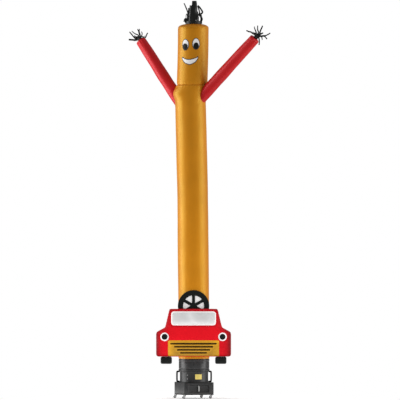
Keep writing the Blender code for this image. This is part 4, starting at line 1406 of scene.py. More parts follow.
def open_arm_holes(outer, inner, specs):
    """Cells to leave out where the arms open, with the edge of each hole drawn onto a circle."""

    def reach(point):
        ways = (from_arm(point, spec) for spec in specs)
        return min((away.length for along, away in ways if -ARM_HOLE_DEPTH < along < 0.20), default=math.inf)

    rows, columns = len(outer), len(outer[0])
    gone = set()
    for row in range(rows - 1):
        if outer[row][0].z < ARM_HOLES_LOW:
            continue
        for column in range(columns):
            after = (column + 1) % columns
            corners = outer[row][column], outer[row][after], outer[row + 1][column], outer[row + 1][after]
            if reach(sum(corners, Vector()) / 4) < ARM_HOLE:
                gone.add((row, column))
    for row in range(rows):
        for column in range(columns):
            around = [(r, c % columns) in gone for r in (row - 1, row) for c in (column - 1, column)]
            if all(around) or not any(around):
                continue
            for grid in (outer, inner):
                point = grid[row][column]
                spec = min(specs, key=lambda spec: (point - arm_line(spec)[0]).length)
                root, ahead = arm_line(spec)[:2]
                along, away = from_arm(point, spec)
                grid[row][column] = root + ahead * along + away.normalized() * ARM_HOLE
    return gone


def tube_piece(node, name, runs, arms=()):
    """Piece of the tube, its levels in runs of (from, to, pitch), open where the arms are sewn on."""
    levels = [runs[0][0]]
    for run in runs:
        levels += steps(*run)[1:]
    outer = tube_grid(levels, 0.0)
    inner = tube_grid(levels, -bpy.context.scene.air_dancer_cloth.thickness)
    gone = open_arm_holes(outer, inner, arms)
    mesh = shell_mesh(
        name,
        outer,
        inner,
        lambda row, column: (column * TUBE_CELL, levels[row]),
        closed=True,
        kept=lambda row, column: (row, column) not in gone,
    )
    return piece_for(node, name, mesh, "gold_cloth")


def make_tube():
    body = tube_piece("body_tube", "body_cloth", TUBE_LEVELS, ARM_SPECS)
    head = tube_piece("head_tube", "head_cloth", HEAD_LEVELS)
    make_crown()
    turns = whole_turn(SEAM_POINTS)
    seams = []
    for height in SEAM_HEIGHTS:
        line = [tube_place(height, turn, SEAM_OFF) for turn in turns]
        seams.append((line, [outwards(turn) for turn in turns], True))
    back = [tube_place(height, math.pi / 2, SEAM_OFF) for height in steps(*BACK_SEAM)]
    seams.append((back, [Vector((0, 1, 0))] * len(back), False))
    sewing = stitched("tube_stitches", seams, "gold_thread")


def make_crown():
    """Cap of the head: a rounded ring of cloth with a hemmed vent."""
    line = smooth_path([Vector(row) for row in CROWN_PROFILE], CROWN_STEP)
    grids = []
    for off in (0.0, -bpy.context.scene.air_dancer_cloth.thickness):
        grid = []
        for index, (radius, height, x) in enumerate(line):
            share = index / (len(line) - 1)
            before, after = beside(line, index)
            out = Vector((after[1] - before[1], 0, before[0] - after[0])).normalized()
            row = []
            for turn in whole_turn(TUBE_COLUMNS):
                gather = math.sin(24 * turn + 3 * ripple(2 * math.cos(turn), 2 * math.sin(turn), 5.5))
                lift = 0.0022 * gather * math.sin(math.pi * min(share * 1.15, 1)) - 0.004 * bell(share, 0.04)
                row.append(polar(radius + out.x * (lift + off), turn, height + out.z * (lift + off), x))
            grid.append(row)
        grids.append(grid)
    mesh = shell_mesh(
        "crown_cloth",
        *grids,
        lambda row, column: (column * TUBE_CELL, HEAD_TOP_Z + row * CROWN_STEP),
        closed=True,
    )
    crown = piece_for("crown_panel", "crown_cloth", mesh, "gold_cloth")


# ---- arms


def arm_relief(spec, share, past, turn):
    """How far an arm's cloth stands off its plain shape."""
    crease = bpy.context.scene.air_dancer_cloth.crease
    length = arm_line(spec)[4]
    x, y, seed = math.cos(turn), math.sin(turn), spec[1]
    value = 0.0030 * ripple(1.2 * x + seed, 1.2 * y, 4.0 * share)
    value += 0.0006 * ripple(3 * x + seed, 3 * y, 9 * share)
    # Gathers at the wrist and at the root, and a few folds half way on the front
    wrist = math.exp(-max(1 - share, 0) * length / 0.06)
    value += crease * 0.8 * wrist * math.sin(13 * turn + 2.5 * ripple(2 * x, 2 * y, seed))
    root_end = math.exp(-share * length / 0.08)
    value += crease * 0.5 * root_end * math.sin(9 * turn + 2 * ripple(2 * x, 2 * y, seed + 3))
    value += crease * 0.3 * math.sin(20 * share * length + 2 * x) * bell(share - 0.52, 0.12) * max(-y, 0)
    return value * (1 - min(past / 0.02, 1) * 0.75)


def arm_grid(spec, off, tree):
    """Rings of an arm's cloth from its foot on the tube to the drawn-in hand, this far off the cloth."""
    root, ahead, _, _, length = arm_line(spec)
    spokes = [(turn, arm_out(spec, turn)) for turn in whole_turn(ARM_COLUMNS)]
    foot = []
    for _, out in spokes:
        start = root + ahead * 0.5 + out * (ARM_RADII[0][1] + off)
        hit, normal, _, _ = tree.ray_cast(start, -ahead)
        foot.append(hit + ahead * (spec[6] / max(abs(normal.dot(ahead)), 0.3)))
    stations = [(share, 0.0, eased(ARM_RADII, share)) for share in steps(0.16, 1.0, 0.011)]
    for (past, radius), (far, small) in zip(HAND_END, HAND_END[1:]):
        for part in (0.34, 0.67, 1.0):
            stations.append((1.0, past + (far - past) * part, radius + (small - radius) * part))
    rows = [foot]
    share, _, radius = stations[0]
    for part in (0.08, 0.18, 0.30, 0.45, 0.62, 0.80):
        ring = []
        for (turn, out), point in zip(spokes, foot):
            top = root + ahead * (share * length) + out * (radius + off + arm_relief(spec, share, 0, turn))
            swell = 0.003 * math.sin(math.pi * part) + arm_relief(spec, share * part, 0, turn) * part * 0.5
            ring.append(point.lerp(top, part) + out * swell)
        rows.append(ring)
    for share, past, radius in stations:
        # The cloth lies flat on itself where it is drawn in.
        middle = root + ahead * (share * length + past + (off if past else 0.0))
        inset = off * (1 if radius > 0.03 else 0.3)
        ring = []
        for turn, out in spokes:
            relief = arm_relief(spec, share, past, turn) * min(radius / 0.05, 1)
            ring.append(middle + out * (radius + inset + relief))
        rows.append(ring)
    return rows


def make_arms():
    thickness = bpy.context.scene.air_dancer_cloth.thickness
    tree = tree_of(bpy.data.objects["body_cloth"])
    for spec in ARM_SPECS:
        name = spec[0]
        up, length = arm_line(spec)[3:]
        outer, inner = arm_grid(spec, 0.0, tree), arm_grid(spec, -thickness, tree)
        climb = length / (len(outer) - 1)
        mesh = shell_mesh(
            name + "_cloth", outer, inner, lambda row, column: (column * ARM_CELL, row * climb), closed=True
        )
        arm = piece_for(name, name + "_cloth", mesh, "red_cloth")
        looks = [from_arm(point, spec)[1].normalized() for point in outer[1]]
        round_root = [point + look * 0.0006 for point, look in zip(outer[1], looks)]
        under = [row[3 * ARM_COLUMNS // 4] - up * 0.0005 for row in outer[1:-8]]
        seams = [(round_root, looks, True), (under, [-up] * len(under), False)]
        sewing = stitched(name + "_stitches", seams, "dark_thread")


# ---- strips of cloth: hands and hair


def strip_line(points, widths, facing, twist, seed):
    """Smooth line for a strip, its broad side turning gently along it."""
    path = smooth_path(points, 0.007)
    table = list(enumerate(widths))
    wide, looks = [], []
    for index in range(len(path)):
        share = index / (len(path) - 1)
        wide.append(between(table, share * (len(widths) - 1)))
        ahead = heading(path, index)
        look = facing - ahead * facing.dot(ahead)
        turn = twist * (share**1.5) + 0.35 * ripple(seed, 4 * share, 0)
        looks.append(Matrix.Rotation(turn, 3, ahead) @ look.normalized())
    return path, looks, wide, False


def box_map(mesh):
    """Cloth map from the two widest directions of each face, in metres."""
    layer = mesh.uv_layers.get("UVMap") or mesh.uv_layers.new(name="UVMap")
    for face in mesh.polygons:
        normal = face.normal
        largest = max(range(3), key=lambda axis: abs(normal[axis]))
        first, second = [axis for axis in range(3) if axis != largest]
        for loop in face.loop_indices:
            point = mesh.vertices[mesh.loops[loop].vertex_index].co
            layer.data[loop].uv = (point[first], point[second])


def strip_piece(node, name, lines, curl, thickness, foot):
    """Piece of cut strips together with the cloth that they stand in."""
    mesh = grown(
        name, lines, strip_tree, "Cloth strips", Thickness=thickness, Curl=curl, Cloth=stock("strip_cloth")
    )
    facing_out(mesh)
    box_map(mesh)
    with editing(mesh) as grid:
        grid.from_mesh(foot)
    return piece_for(node, name, mesh, "black_cloth", "strip_cloth")


def make_streamers():
    for spec, table in zip(ARM_SPECS, (STREAMERS_LEFT, STREAMERS_RIGHT)):
        name = spec[0].replace("arm", "streamers")
        root, ahead, _, _, length = arm_line(spec)
        wrist = root + ahead * length
        lines = []
        for index, (width, near, far, points) in enumerate(table, 1):
            path = []
            for step, (x, z) in enumerate(points):
                share = step / (len(points) - 1)
                path.append(wrist + Vector((x, near + (far - near) * share, z)) / 1000)
            facing = Vector((0.25 * math.sin(2.1 * index), -1, 0.2 * math.cos(1.7 * index)))
            wide = width * STREAMER_WIDTH / 1000
            twist = 0.8 * math.sin(2.7 * index)
            lines.append(strip_line(path, (wide, wide, wide * 0.9), facing, twist, index * 3.1))
        rings = []
        for past, radius, _ in smooth_path([Vector((*row, 0)) for row in KNOB], 0.004):
            ring = []
            for turn in whole_turn(KNOB_COLUMNS):
                fold = 1 + 0.10 * math.sin(9 * turn + 2 * ripple(past * 40, turn, len(table)))
                ring.append(wrist + ahead * past + arm_out(spec, turn) * (radius * fold))
            rings.append(ring)
        knot = rings_mesh(name + "_knot", rings, cap=True)
        hand = strip_piece(name, name + "_cloth", lines, 0.16, 0.0015, knot)


def make_hair():
    middle = Vector((VENT_X, 0, HAIR_HIGH))
    lines = []
    for index, (azimuth, to_front, widths, points) in enumerate(HAIR, 1):
        out = outwards(math.radians(azimuth))
        path = [middle + out * HAIR_RING - UP * 0.030]
        path += [middle + Vector(point) / 1000 for point in points]
        facing = Vector((0, -1, 0)) if to_front else (out + Vector((0, -0.15, 0))).normalized()
        wide = [width / 1000 for width in widths]
        lines.append(strip_line(path, wide, facing, 0.5 * math.sin(1.9 * index), index * 1.7))
    rings = []
    for height, radius in RUFF_PROFILE:
        ring = []
        for turn in whole_turn(RUFF_COLUMNS):
            fold = 0.0014 * math.sin(40 * turn + 3 * ripple(2 * math.cos(turn), 2 * math.sin(turn), 1))
            ring.append(polar(radius + fold, turn, height, VENT_X))
        rings.append(ring)
    ruff = rings_mesh("hair_ring", rings, closed=True)
    hair = strip_piece("hair_ruff", "hair_cloth", lines, 0.22, 0.0018, ruff)


# ---- patches


def rounded_outline(half_width, half_height, corner, turn):
    """Point of a rounded rectangle's edge, this part of a turn along it from its lower right corner."""
    wide, tall = half_width - corner, half_height - corner
    bend = math.pi / 2 * corner
    sides = (2 * tall, bend, 2 * wide, bend) * 2
    along = (turn / (2 * math.pi)) % 1.0 * sum(sides)
    for index, size in enumerate(sides):
        if along <= size:
            break
        along -= size
    part = along / size if size > 0 else 0.0
    quarter, on_corner = divmod(index, 2)
    reach, half = ((half_width, tall), (half_height, wide))[quarter % 2]
    if on_corner:
        angle = math.pi / 2 * part
        x, y = reach - corner + corner * math.cos(angle), half + corner * math.sin(angle)
    else:
        x, y = reach, half * (2 * part - 1)
    for _ in range(quarter):
        x, y = -y, x
    return x, y


def rounded_patch(x, z, half_width, half_height, corner):
    """Flat outline of a patch: outline(turn, share) is this share of the way out from its middle."""

    def outline(turn, share):
        a, b = rounded_outline(half_width, half_height, corner, turn)
        return x + a * share, z + b * share

    return outline


def oval_patch(x, z, half_width, half_height):
    def outline(turn, share):
        return x + half_width * share * math.cos(turn), z + half_height * share * math.sin(turn)

    return outline


def laid_mesh(name, spots, surface, gap, thickness, closed=False):
    """Sheet laid over a surface: spots is its grid of flat places, surface(a, b, off) puts one in place."""
    grids = [[[surface(*spot, off) for spot in row] for row in spots] for off in (gap + thickness, gap)]
    return shell_mesh(name, *grids, lambda row, column: spots[row][column % len(spots[0])], closed)


def make_patch(name, outline, surface, gap, cloth_name, columns, finish=None):
    """Sewn-on patch with the cloth map of its own plane."""
    spots = [[outline(turn, share) for turn in whole_turn(columns)] for share in PATCH_SHARES]
    thickness = bpy.context.scene.air_dancer_cloth.patch
    mesh = laid_mesh(name + "_cloth", spots, surface, gap, thickness, closed=True)
    return piece_for(name, name + "_cloth", mesh, cloth_name, finish)


def edge_line(outline, surface, off, count, inset):
    """Closed line just inside a patch's edge, and which way its cloth looks there."""
    flat = [Vector(outline(turn, 1.0)) for turn in whole_turn(count)]
    line = []
    looks = []
    for index, spot in enumerate(flat):
        ahead = heading(flat, index, closed=True)
        a, b = spot + Vector((-ahead.y, ahead.x)) * inset
        point = surface(a, b, off)
        line.append(point)
        looks.append((surface(a, b, off + 0.01) - point).normalized())
    return line, looks, True


def satin_edge(name, path, looks, width, thread):
    """Closed satin-stitched edge of this width."""
    profile = [(across * width / 2, out) for across, out in SATIN_PROFILE]
    return new_piece(name, swept(name, path, looks, profile), stock(thread))


# ---- face


def head_place(arc, height, off):
    return tube_place(height, arc / TUBE_RADIUS - math.pi / 2, off)


def mouth_edge(column):
    """The mouth's lower or upper edge, as (arc, height)."""
    curve = smooth_path([Vector((row[0], row[column], 0)) for row in MOUTH], 0.004)
    return [(point.x, point.y) for point in curve]


def make_face():
    patch_thickness = bpy.context.scene.air_dancer_cloth.patch
    for name, arc, height, wide, tall, cloth_name, layer in EYE_SPECS:
        oval = oval_patch(arc, height, wide, tall)
        gap = FACE_GAP + layer * (patch_thickness + FACE_LAYER_GAP)
        patch = make_patch(name, oval, head_place, gap, cloth_name, 96)
        line, looks, _ = edge_line(oval, head_place, gap + patch_thickness, 120, 0.001)
        thread = "black_thread" if layer else "satin_edge"
        edge = satin_edge(name + "_satin", line, looks, 0.010, thread)
        area = math.pi * wide * tall
    lower, upper = mouth_edge(1), mouth_edge(2)

    def spot(along, share):
        arc = MOUTH[0][0] + (MOUTH[-1][0] - MOUTH[0][0]) * along
        low, high = between(lower, arc), between(upper, arc)
        return arc, low + (high - low) * share

    columns = steps(0.0, 1.0, 0.02)
    spots = [[spot(along, share) for along in columns] for share in steps(0.0, 1.0, 0.125)]
    mesh = laid_mesh("mouth_cloth", spots, head_place, FACE_GAP, patch_thickness)
    mouth = piece_for("mouth", "mouth_cloth", mesh, "white_cloth")
    loop = spots[0] + spots[-1][::-1]
    path = [head_place(*place, FACE_GAP + patch_thickness) for place in loop]
    looks = [(head_place(*place, 0.02) - head_place(*place, 0.0)).normalized() for place in loop]
    edge = satin_edge("mouth_satin", path, looks, 0.012, "satin_edge")
    area = 0.0
    for (a, bottom), (_, top), (b, _) in zip(spots[0], spots[-1], spots[0][1:]):
        area += (b - a) * (top - bottom)


# ---- car panel


def car_shares(x, height):
    """How far this point of the car is from the middle to the outline, sideways and upwards: 0 to 1."""
    across = min(abs(x - CAR_X) / between(CAR_OUTLINE, height), 1)
    along = min(abs(2 * (height - CAR_LOW) / (CAR_HIGH - CAR_LOW) - 1), 1)
    return across, along


def car_fullness(x, height):
    across, along = car_shares(x, height)
    return max(1 - across**5, 0) * max(1 - along**5, 0)


def car_back(x, height):
    plane = CAR_LOW_BACK + (CAR_HIGH_BACK - CAR_LOW_BACK) * ramp(height, 1.06, 0.07)
    return plane + CAR_BACK_ROUND * (1 - car_fullness(x, height))


def car_front(x, height):
    return CAR_EDGE_BACK + CAR_RIM + CAR_CROWN * car_fullness(x, height)


def patch_distance(x, height, row):
    """Signed distance from this point to the edge of a patch, negative inside it."""
    _, middle_x, middle_z, half_width, half_height, corner = row[:6]
    dx = abs(x - middle_x) - (half_width - corner)
    dz = abs(height - middle_z) - (half_height - corner)
    outside = math.hypot(max(dx, 0), max(dz, 0))
    return outside + min(max(dx, dz), 0) - corner


def car_relief(x, height):
    """Puckers at the edge seam and the sunk lines where the patches are sewn down."""
    crease = bpy.context.scene.air_dancer_cloth.crease
    across, along = car_shares(x, height)
    value = 0.0030 * ripple(4 * x, 4 * height, 0.5) + 0.0012 * ripple(13 * x, 13 * height, 2.5)
    side = across**9 * math.sin(2 * math.pi * height / 0.062 + 2.4 * ripple(5 * height, x, 4))
    top = along**9 * math.sin(2 * math.pi * x / 0.070 + 2.4 * ripple(5 * x, height, 8))
    value += crease * 0.75 * (side + top)
    folds = math.sin(95 * (x + height) + 3 * ripple(7 * x, 7 * height, 1))
    for row in CAR_PATCHES:
        if row[6] == 0:
            distance = patch_distance(x, height, row)
            value += crease * 0.25 * bell(distance - 0.03, 0.03) * folds - 0.0050 * bell(distance, 0.016)
    return value


def outline_distance(x, height):
    """Distance from this point of the car panel in to its outline."""
    point = Vector((abs(x - CAR_X), height))
    best = min(CAR_HIGH - height, height - CAR_LOW + 0.05)
    for (low, narrow), (high, wide) in zip(CAR_OUTLINE, CAR_OUTLINE[1:]):
        start, end = Vector((narrow, low)), Vector((wide, high))
        along = clamped((point - start).dot(end - start) / (end - start).length_squared)
        best = min(best, (point - start - (end - start) * along).length)
    return best


def car_painted_shade(x, height):
    """Painted shade on the car: along its edges, stronger on its right side and under the windscreen, with
    darker pillars and roof.
    """
    out = abs(x - CAR_X)
    edge = bell(max(outline_distance(x, height), 0), 0.050)
    right = ramp(x, 0.36, 0.16) * 0.45
    left = ramp(-x, 0.44, 0.12) * 0.30
    pillar = ramp(height, 1.06, 0.08) * ramp(out, 0.30, 0.05) * 0.25
    under = 0.35 * bell(height - 1.100, 0.014) * (out < 0.34)
    roof = 0.25 * ramp(height, 1.325, 0.03)
    low = ramp(-height, -1.08, 0.10)
    return min((0.40 + 0.35 * low) * edge + max(right, left) * low + pillar + under + roof, 1.0)


def grille_painted_highlight(x, height):
    """Painted highlight on the grille: its left and top edges and a halo round each bar."""
    left = bell(x + 0.3945, 0.09)
    top = bell(height - 0.887, 0.022)
    right = 0.45 * bell(x - 0.38, 0.10)
    bars = [row for row in CAR_PATCHES if row[7] == "bar_cloth"]
    halo = max(0.40 * bell(max(patch_distance(x, height, row), 0), 0.016) for row in bars)
    return min(0.18 + 0.8 * max(left, top) + right + halo, 1.0)


def pane_painted_highlight(x, height):
    """Painted highlight on the windscreen: its lower edge and a slanting painted reflection."""
    low = bell(height - 1.130, 0.045)
    painted_reflection = 0.6 * bell(x + 0.35 * (height - 1.22) + 0.04, 0.05)
    return min(low + painted_reflection, 1.0)


def airbrush(mesh, painted_light_at):
    """Stores on each point how far its colour fades to the painted light colour: a painted shade or a painted
    highlight.
    """
    places = [vert.co - AXIS for vert in mesh.vertices]
    values = [painted_light_at(place.x, place.z) for place in places]
    mesh.attributes.new("airbrush", "FLOAT", "POINT").data.foreach_set("value", values)


def padded_piece(node, name, mesh, slot, finish=None):
    facing_out(mesh)
    box_map(mesh)
    return piece_for(node, name, mesh, slot, finish, smooth=60)


def make_car():
    def spread(share):
        return 0.6 * math.sin(math.pi * (share - 0.5)) + 0.4 * (2 * share - 1)

    shares = [step / 100 for step in range(101)]
    heights = [
        CAR_LOW + (CAR_HIGH - CAR_LOW) * (0.55 * share + 0.45 * (0.5 - 0.5 * math.cos(math.pi * share)))
        for share in shares
    ]
    outer, inner = [], []
    for height in heights:
        wide = between(CAR_OUTLINE, height)
        across = [CAR_X + wide * spread(step / CAR_COLUMNS) for step in range(CAR_COLUMNS + 1)]
        outer.append([Vector((x, -car_front(x, height), height)) for x in across])
        inner.append([Vector((x, -car_back(x, height), height)) for x in across])
    mesh = shell_mesh("car_pad", outer, inner, lambda row, column: outer[row][column].xz)
    pad = with_modifiers("car_pad", mesh, ("REMESH", {"mode": "VOXEL", "voxel_size": 0.010, "adaptivity": 0.0}))
    soften(pad, 4)
    sewn_edge = -(CAR_EDGE_BACK + 0.8 * CAR_RIM)
    pad = puffed("car_pad", pad, CAR_PRESSURE, CAR_PUFF, lambda point: point.y > sewn_edge)
    pad = with_modifiers("car_pad", pad, ("SUBSURF", {"levels": 1, "render_levels": 1}))
    for vert in pad.vertices:
        local = vert.co - AXIS
        if local.y < -CAR_EDGE_BACK:
            vert.co.y -= car_relief(local.x, local.z)
    pad = padded_piece("car_body", "car_pad", pad, "red_cloth", "car_cloth")
    # Painted shade on the car panel, stored on each point
    airbrush(pad.data, car_painted_shade)


# The finish and the painted light of the grille and the windscreen patches: painted shade and highlight on the
# grille, painted highlight on the windscreen
PAINTED_LIGHT_PATCHES = {"grille_panel": ("grille_cloth", grille_painted_highlight), "windscreen": ("grey_cloth", pane_painted_highlight)}


def make_car_patches():
    patch_thickness = bpy.context.scene.air_dancer_cloth.patch
    pad_tree = tree_of(bpy.data.objects["car_pad"])

    def car_place(x, height, off):
        hit = pad_tree.ray_cast(Vector((x, -2.0, height)), Vector((0, 1, 0)))[0]
        return hit - Vector((0, off, 0))

    for name, x, z, half_width, half_height, corner, layer, cloth_name in CAR_PATCHES:
        outline = rounded_patch(x, z, half_width, half_height, corner)
        gap = CAR_PATCH_GAP + layer * (patch_thickness + CAR_LAYER_GAP)
        columns = max(64, round(4 * (half_width + half_height) / 0.010))
        finish, painted_light_at = PAINTED_LIGHT_PATCHES.get(name, (None, None))
        patch = make_patch(name, outline, car_place, gap, cloth_name, columns, finish)
        # Painted highlight on the grille and the windscreen, stored on each point
        if painted_light_at:
            airbrush(patch.data, painted_light_at)
        inset = min(0.006, half_height * 0.35)
        line = edge_line(outline, car_place, gap + patch_thickness + 0.0003, columns, inset)
        sewing = stitched(name + "_stitches", [line], PATCH_THREADS.get(cloth_name, "dark_thread"))


def make_tyres():
    depth = -(CAR_EDGE_BACK + CAR_RIM / 2)
    for name, x in TYRES:
        middle = AXIS + Vector((x, depth, TYRE_Z))
        mesh = with_modifiers(
            name + "_pad",
            block_mesh(name + "_block", TYRE_SIZE, middle),
            ("BEVEL", {"width": 0.024, "segments": 4}),
            ("REMESH", {"mode": "VOXEL", "voxel_size": 0.004}),
        )
        soften(mesh, 5)
        for vert in mesh.vertices:
            local = vert.co - middle
            crease = 0.0016 * ripple(*(30 * vert.co)) - 0.0022 * bell(local.x, 0.004)
            push = crease * (1 - 0.5 * min(abs(local.x) / (TYRE_SIZE[0] / 2), 1))
            vert.co.y += math.copysign(push, local.y)
        tyre = padded_piece(name, name + "_pad", mesh, "black_cloth")


# ---- spare wheel


def wheel_opening(gap):
    """Corners of one gap between two spokes, from the wheel's middle."""
    sixth = math.pi / 3
    inset = math.asin(WHEEL_SPOKE / 2 / WHEEL_OPENING)
    start = sixth * (gap + 0.5)
    corners = [(WHEEL_SPOKE, start + sixth / 2)]
    corners += [(WHEEL_OPENING, start + inset + (sixth - 2 * inset) * step / 10) for step in range(11)]
    return [polar(radius, turn, 0).xy for radius, turn in corners]


def make_spare_wheel():
    curve = bpy.data.curves.new("spare_wheel", "CURVE")
    curve.dimensions = "2D"
    curve.fill_mode = "BOTH"
    curve.extrude = WHEEL_THICKNESS / 2 - WHEEL_EDGE
    curve.bevel_depth = WHEEL_EDGE
    curve.bevel_resolution = 2
    curve.offset = -WHEEL_EDGE
    rim = [polar(WHEEL_RADIUS, turn, 0).xy for turn in steps(0, 2 * math.pi, 0.045)[:-1]]
    for loop in [rim] + [wheel_opening(gap) for gap in range(6)]:
        spline = curve.splines.new("POLY")
        spline.points.add(len(loop) - 1)
        for point, (x, y) in zip(spline.points, loop):
            point.co = (x, y, 0, 1)
        spline.use_cyclic_u = True
    shape = linked("spare_wheel_shape", curve)
    middle = AXIS + Vector((WHEEL_X, -(CAR_LOW_BACK + 0.0025 + WHEEL_THICKNESS / 2), WHEEL_Z))
    shape.matrix_world = Matrix.Translation(middle) @ Matrix.Rotation(math.pi / 2, 4, "X")
    mesh = solid_copy(shape, "spare_wheel_shape")
    mesh = with_modifiers("spare_wheel_pad", mesh, ("REMESH", {"mode": "VOXEL", "voxel_size": 0.0032}))
    soften(mesh, 3)
    for vert in mesh.vertices:
        local = vert.co - middle
        if local.y < 0:
            radius = math.hypot(local.x, local.z)
            tread = 0.0012 * math.sin(44 * math.atan2(local.z, local.x)) * bell(radius - 0.20, 0.022)
            vert.co.y -= tread + 0.0008 * ripple(22 * local.x, 22 * local.z, 3)
    wheel = padded_piece("spare_wheel", "spare_wheel_pad", mesh, "black_cloth")

    def wheel_place(a, b, off):
        return Vector((WHEEL_X + a, -CAR_LOW_BACK - off, WHEEL_Z + b))

    disc = oval_patch(0.0, 0.0, WHEEL_FACE_RADIUS, WHEEL_FACE_RADIUS)
    face = make_patch("wheel_face", disc, wheel_place, 0.0, "white_cloth", 120)


# ---- fan unit


def turned_box(name, size, middle, radius, cut=None):
    """Square block turned with the unit, its edges rounded after an optional block is cut from it."""
    mesh = block_mesh(name, size, middle)
    modifiers = [("BEVEL", {"width": radius, "segments": 4, "limit_method": "ANGLE"})]
    if cut:
        cutter = linked(name + "_cut", block_mesh(name + "_cut", *cut))
        modifiers.insert(0, ("BOOLEAN", {"object": cutter, "operation": "DIFFERENCE", "solver": "EXACT"}))
    mesh = with_modifiers(name, mesh, *modifiers)
    if cut:
        bpy.data.objects.remove(cutter, do_unlink=True)
    mesh.transform(Matrix.Translation(AXIS) @ Matrix.Rotation(TURN, 4, "Z"))
    return facing_out(mesh)


def bent_bar(name, path, width, depth, place):
    """Rounded flat bar bent in the XZ plane, then put in place."""
    fine = smooth_path([Vector((x, 0, z)) for x, z in path], 0.004)
    radius = min(width, depth) * 0.42
    profile = []
    for quarter, (right, front) in enumerate(((1, 1), (-1, 1), (-1, -1), (1, -1))):
        for step in range(5):
            angle = math.pi / 2 * (quarter + step / 4)
            across = right * (width / 2 - radius) + radius * math.cos(angle)
            profile.append((across, front * (depth / 2 - radius) + radius * math.sin(angle)))
    rings = []
    for index, point in enumerate(fine):
        ahead = heading(fine, index)
        across = Vector((-ahead.z, 0, ahead.x))
        rings.append([place @ (point + across * a + Vector((0, b, 0))) for a, b in profile])
    return rings_mesh(name, rings, cap=True)


def make_fan_unit():
    unit = bpy.context.scene.air_dancer_unit
    for node, finish, profile in LATHED:
        moulded(node, turned(node, profile, LATHE_SIDES, 0.003), finish)
    housing = turned_box(
        "housing",
        (UNIT_SIDE, UNIT_SIDE, UNIT_HIGH - UNIT_LOW),
        (0, 0, (UNIT_HIGH + UNIT_LOW) / 2),
        unit.edge,
        cut=((RECESS[0], RECESS[1] * 2, RECESS[2]), (0, -UNIT_SIDE / 2, RECESS_Z)),
    )
    moulded("housing", housing, "dark_plastic")
    plate_size = (PLATE_SIDE, PLATE_SIDE, PLATE_HIGH - PLATE_LOW)
    plate = turned_box("base_plate", plate_size, (0, 0, (PLATE_HIGH + PLATE_LOW) / 2), 0.003)
    moulded("base_plate", plate, "dark_plastic")
    front = Matrix.Translation(polar(UNIT_SIDE / 2, TURN - math.pi / 2, 0))
    front = front @ Matrix.Rotation(TURN + math.pi / 2, 4, "Z")
    grip = bent_bar("panel_grip", GRIP_PATH, *GRIP_SIZE, front)
    moulded("panel_grip", grip, "duct_plastic", "grip_plastic")
    for node, facing in (("handle_right", 0.0), ("handle_left", math.pi)):
        handle = bent_bar(node, HANDLE_PATH, *HANDLE_SIZE, Matrix.Rotation(facing, 4, "Z"))
        moulded(node, handle, "dark_plastic", "handle_plastic")
    make_label()
    make_screws()


def make_label():
    middle = TURN * DRUM_RADIUS
    arcs = steps(middle - LABEL_WIDTH / 2, middle + LABEL_WIDTH / 2, 0.006)
    spots = [[(arc, height) for arc in arcs] for height in steps(LABEL_LOW, LABEL_HIGH, 0.008)]

    def drum_place(arc, height, off):
        return polar(DRUM_RADIUS + off, arc / DRUM_RADIUS - math.pi / 2, height)

    mesh = laid_mesh("rating_label_film", spots, drum_place, 0.0008, 0.0012)
    piece_for("rating_label", "rating_label_film", mesh, "label_film")


def make_screws():
    out = outwards(SCREW_AZIMUTH)
    for index, height in enumerate(SCREW_HEIGHTS, 1):
        name = f"drum_screw_{index}"
        place = out * (DRUM_RADIUS + 0.0010) + UP * height
        mesh = grown(
            name + "_head",
            [([place], [out], [1.0], False)],
            screw_tree,
            "Round screws",
            Head_radius=0.006,
            Head_height=0.0035,
            Steel=stock("steel"),
        )
        piece_for(name, name + "_head", mesh, "steel")


# ---- casters


def make_casters():
    half = UNIT_SIDE / 2 * CASTER_INSET
    wide = CASTER_WHEEL_WIDTH / 2
    radius = CASTER_WHEEL_RADIUS
    profile = [
        (AXLE_RADIUS + 0.0006, wide),
        (0.0075, wide),
        (0.0088, wide - 0.0018),
        (radius - 0.006, wide - 0.0018),
        (radius - 0.004, wide),
        (radius - 0.0015, wide - 0.0015),
        (radius, wide - 0.0045),
    ]
    profile += [(reach, -across) for reach, across in reversed(profile)]
    for index, (right, back) in enumerate(((-1, -1), (1, -1), (1, 1), (-1, 1)), 1):
        x = half * (right * math.cos(TURN) - back * math.sin(TURN)) - CASTER_TRAIL
        y = half * (right * math.sin(TURN) + back * math.cos(TURN))
        rings = [
            [
                Vector((x + reach * math.cos(turn), y + across, radius + reach * math.sin(turn)))
                for turn in whole_turn(60)
            ]
            for reach, across in profile
        ]
        node = f"caster_wheel_{index}"
        mesh = rings_mesh(node, rings, closed=True)
        piece_for(node, node + "_turned", mesh, "wheel_rubber", body=f"roller_{index}", smooth=30)
        fork = frame["nodes"][f"caster_fork_{index}"]
        fork.data.materials.clear()
        fork.data.materials.append(stock("steel"))


# ---- stage


def make_floor():
    mesh = bpy.data.meshes.new("floor")
    with editing(mesh) as grid:
        bmesh.ops.create_circle(grid, cap_ends=True, radius=FLOOR_RADIUS, segments=96)
    floor = linked("floor", mesh)
    floor.location = (FAN_X, FAN_Y, FLOOR_Z)
    made = Finish("pale_floor")
    away = made.node("ShaderNodeVectorMath", {"operation": "LENGTH"})
    made.tree.links.new(made.space, away.inputs[0])
    finish = made.done(
        Base_Color=made.mixed(made.noise(2.0, 4.0, 0.5), (0.88, 0.88, 0.88), (0.93, 0.93, 0.93)),
        Roughness=0.8,
        Emission_Color=WHITE_LIGHT,
        Emission_Strength=made.ranged(away.outputs["Value"], 0.5, 2.3, 0.20, 0.66),
    )
    mesh.materials.append(finish)


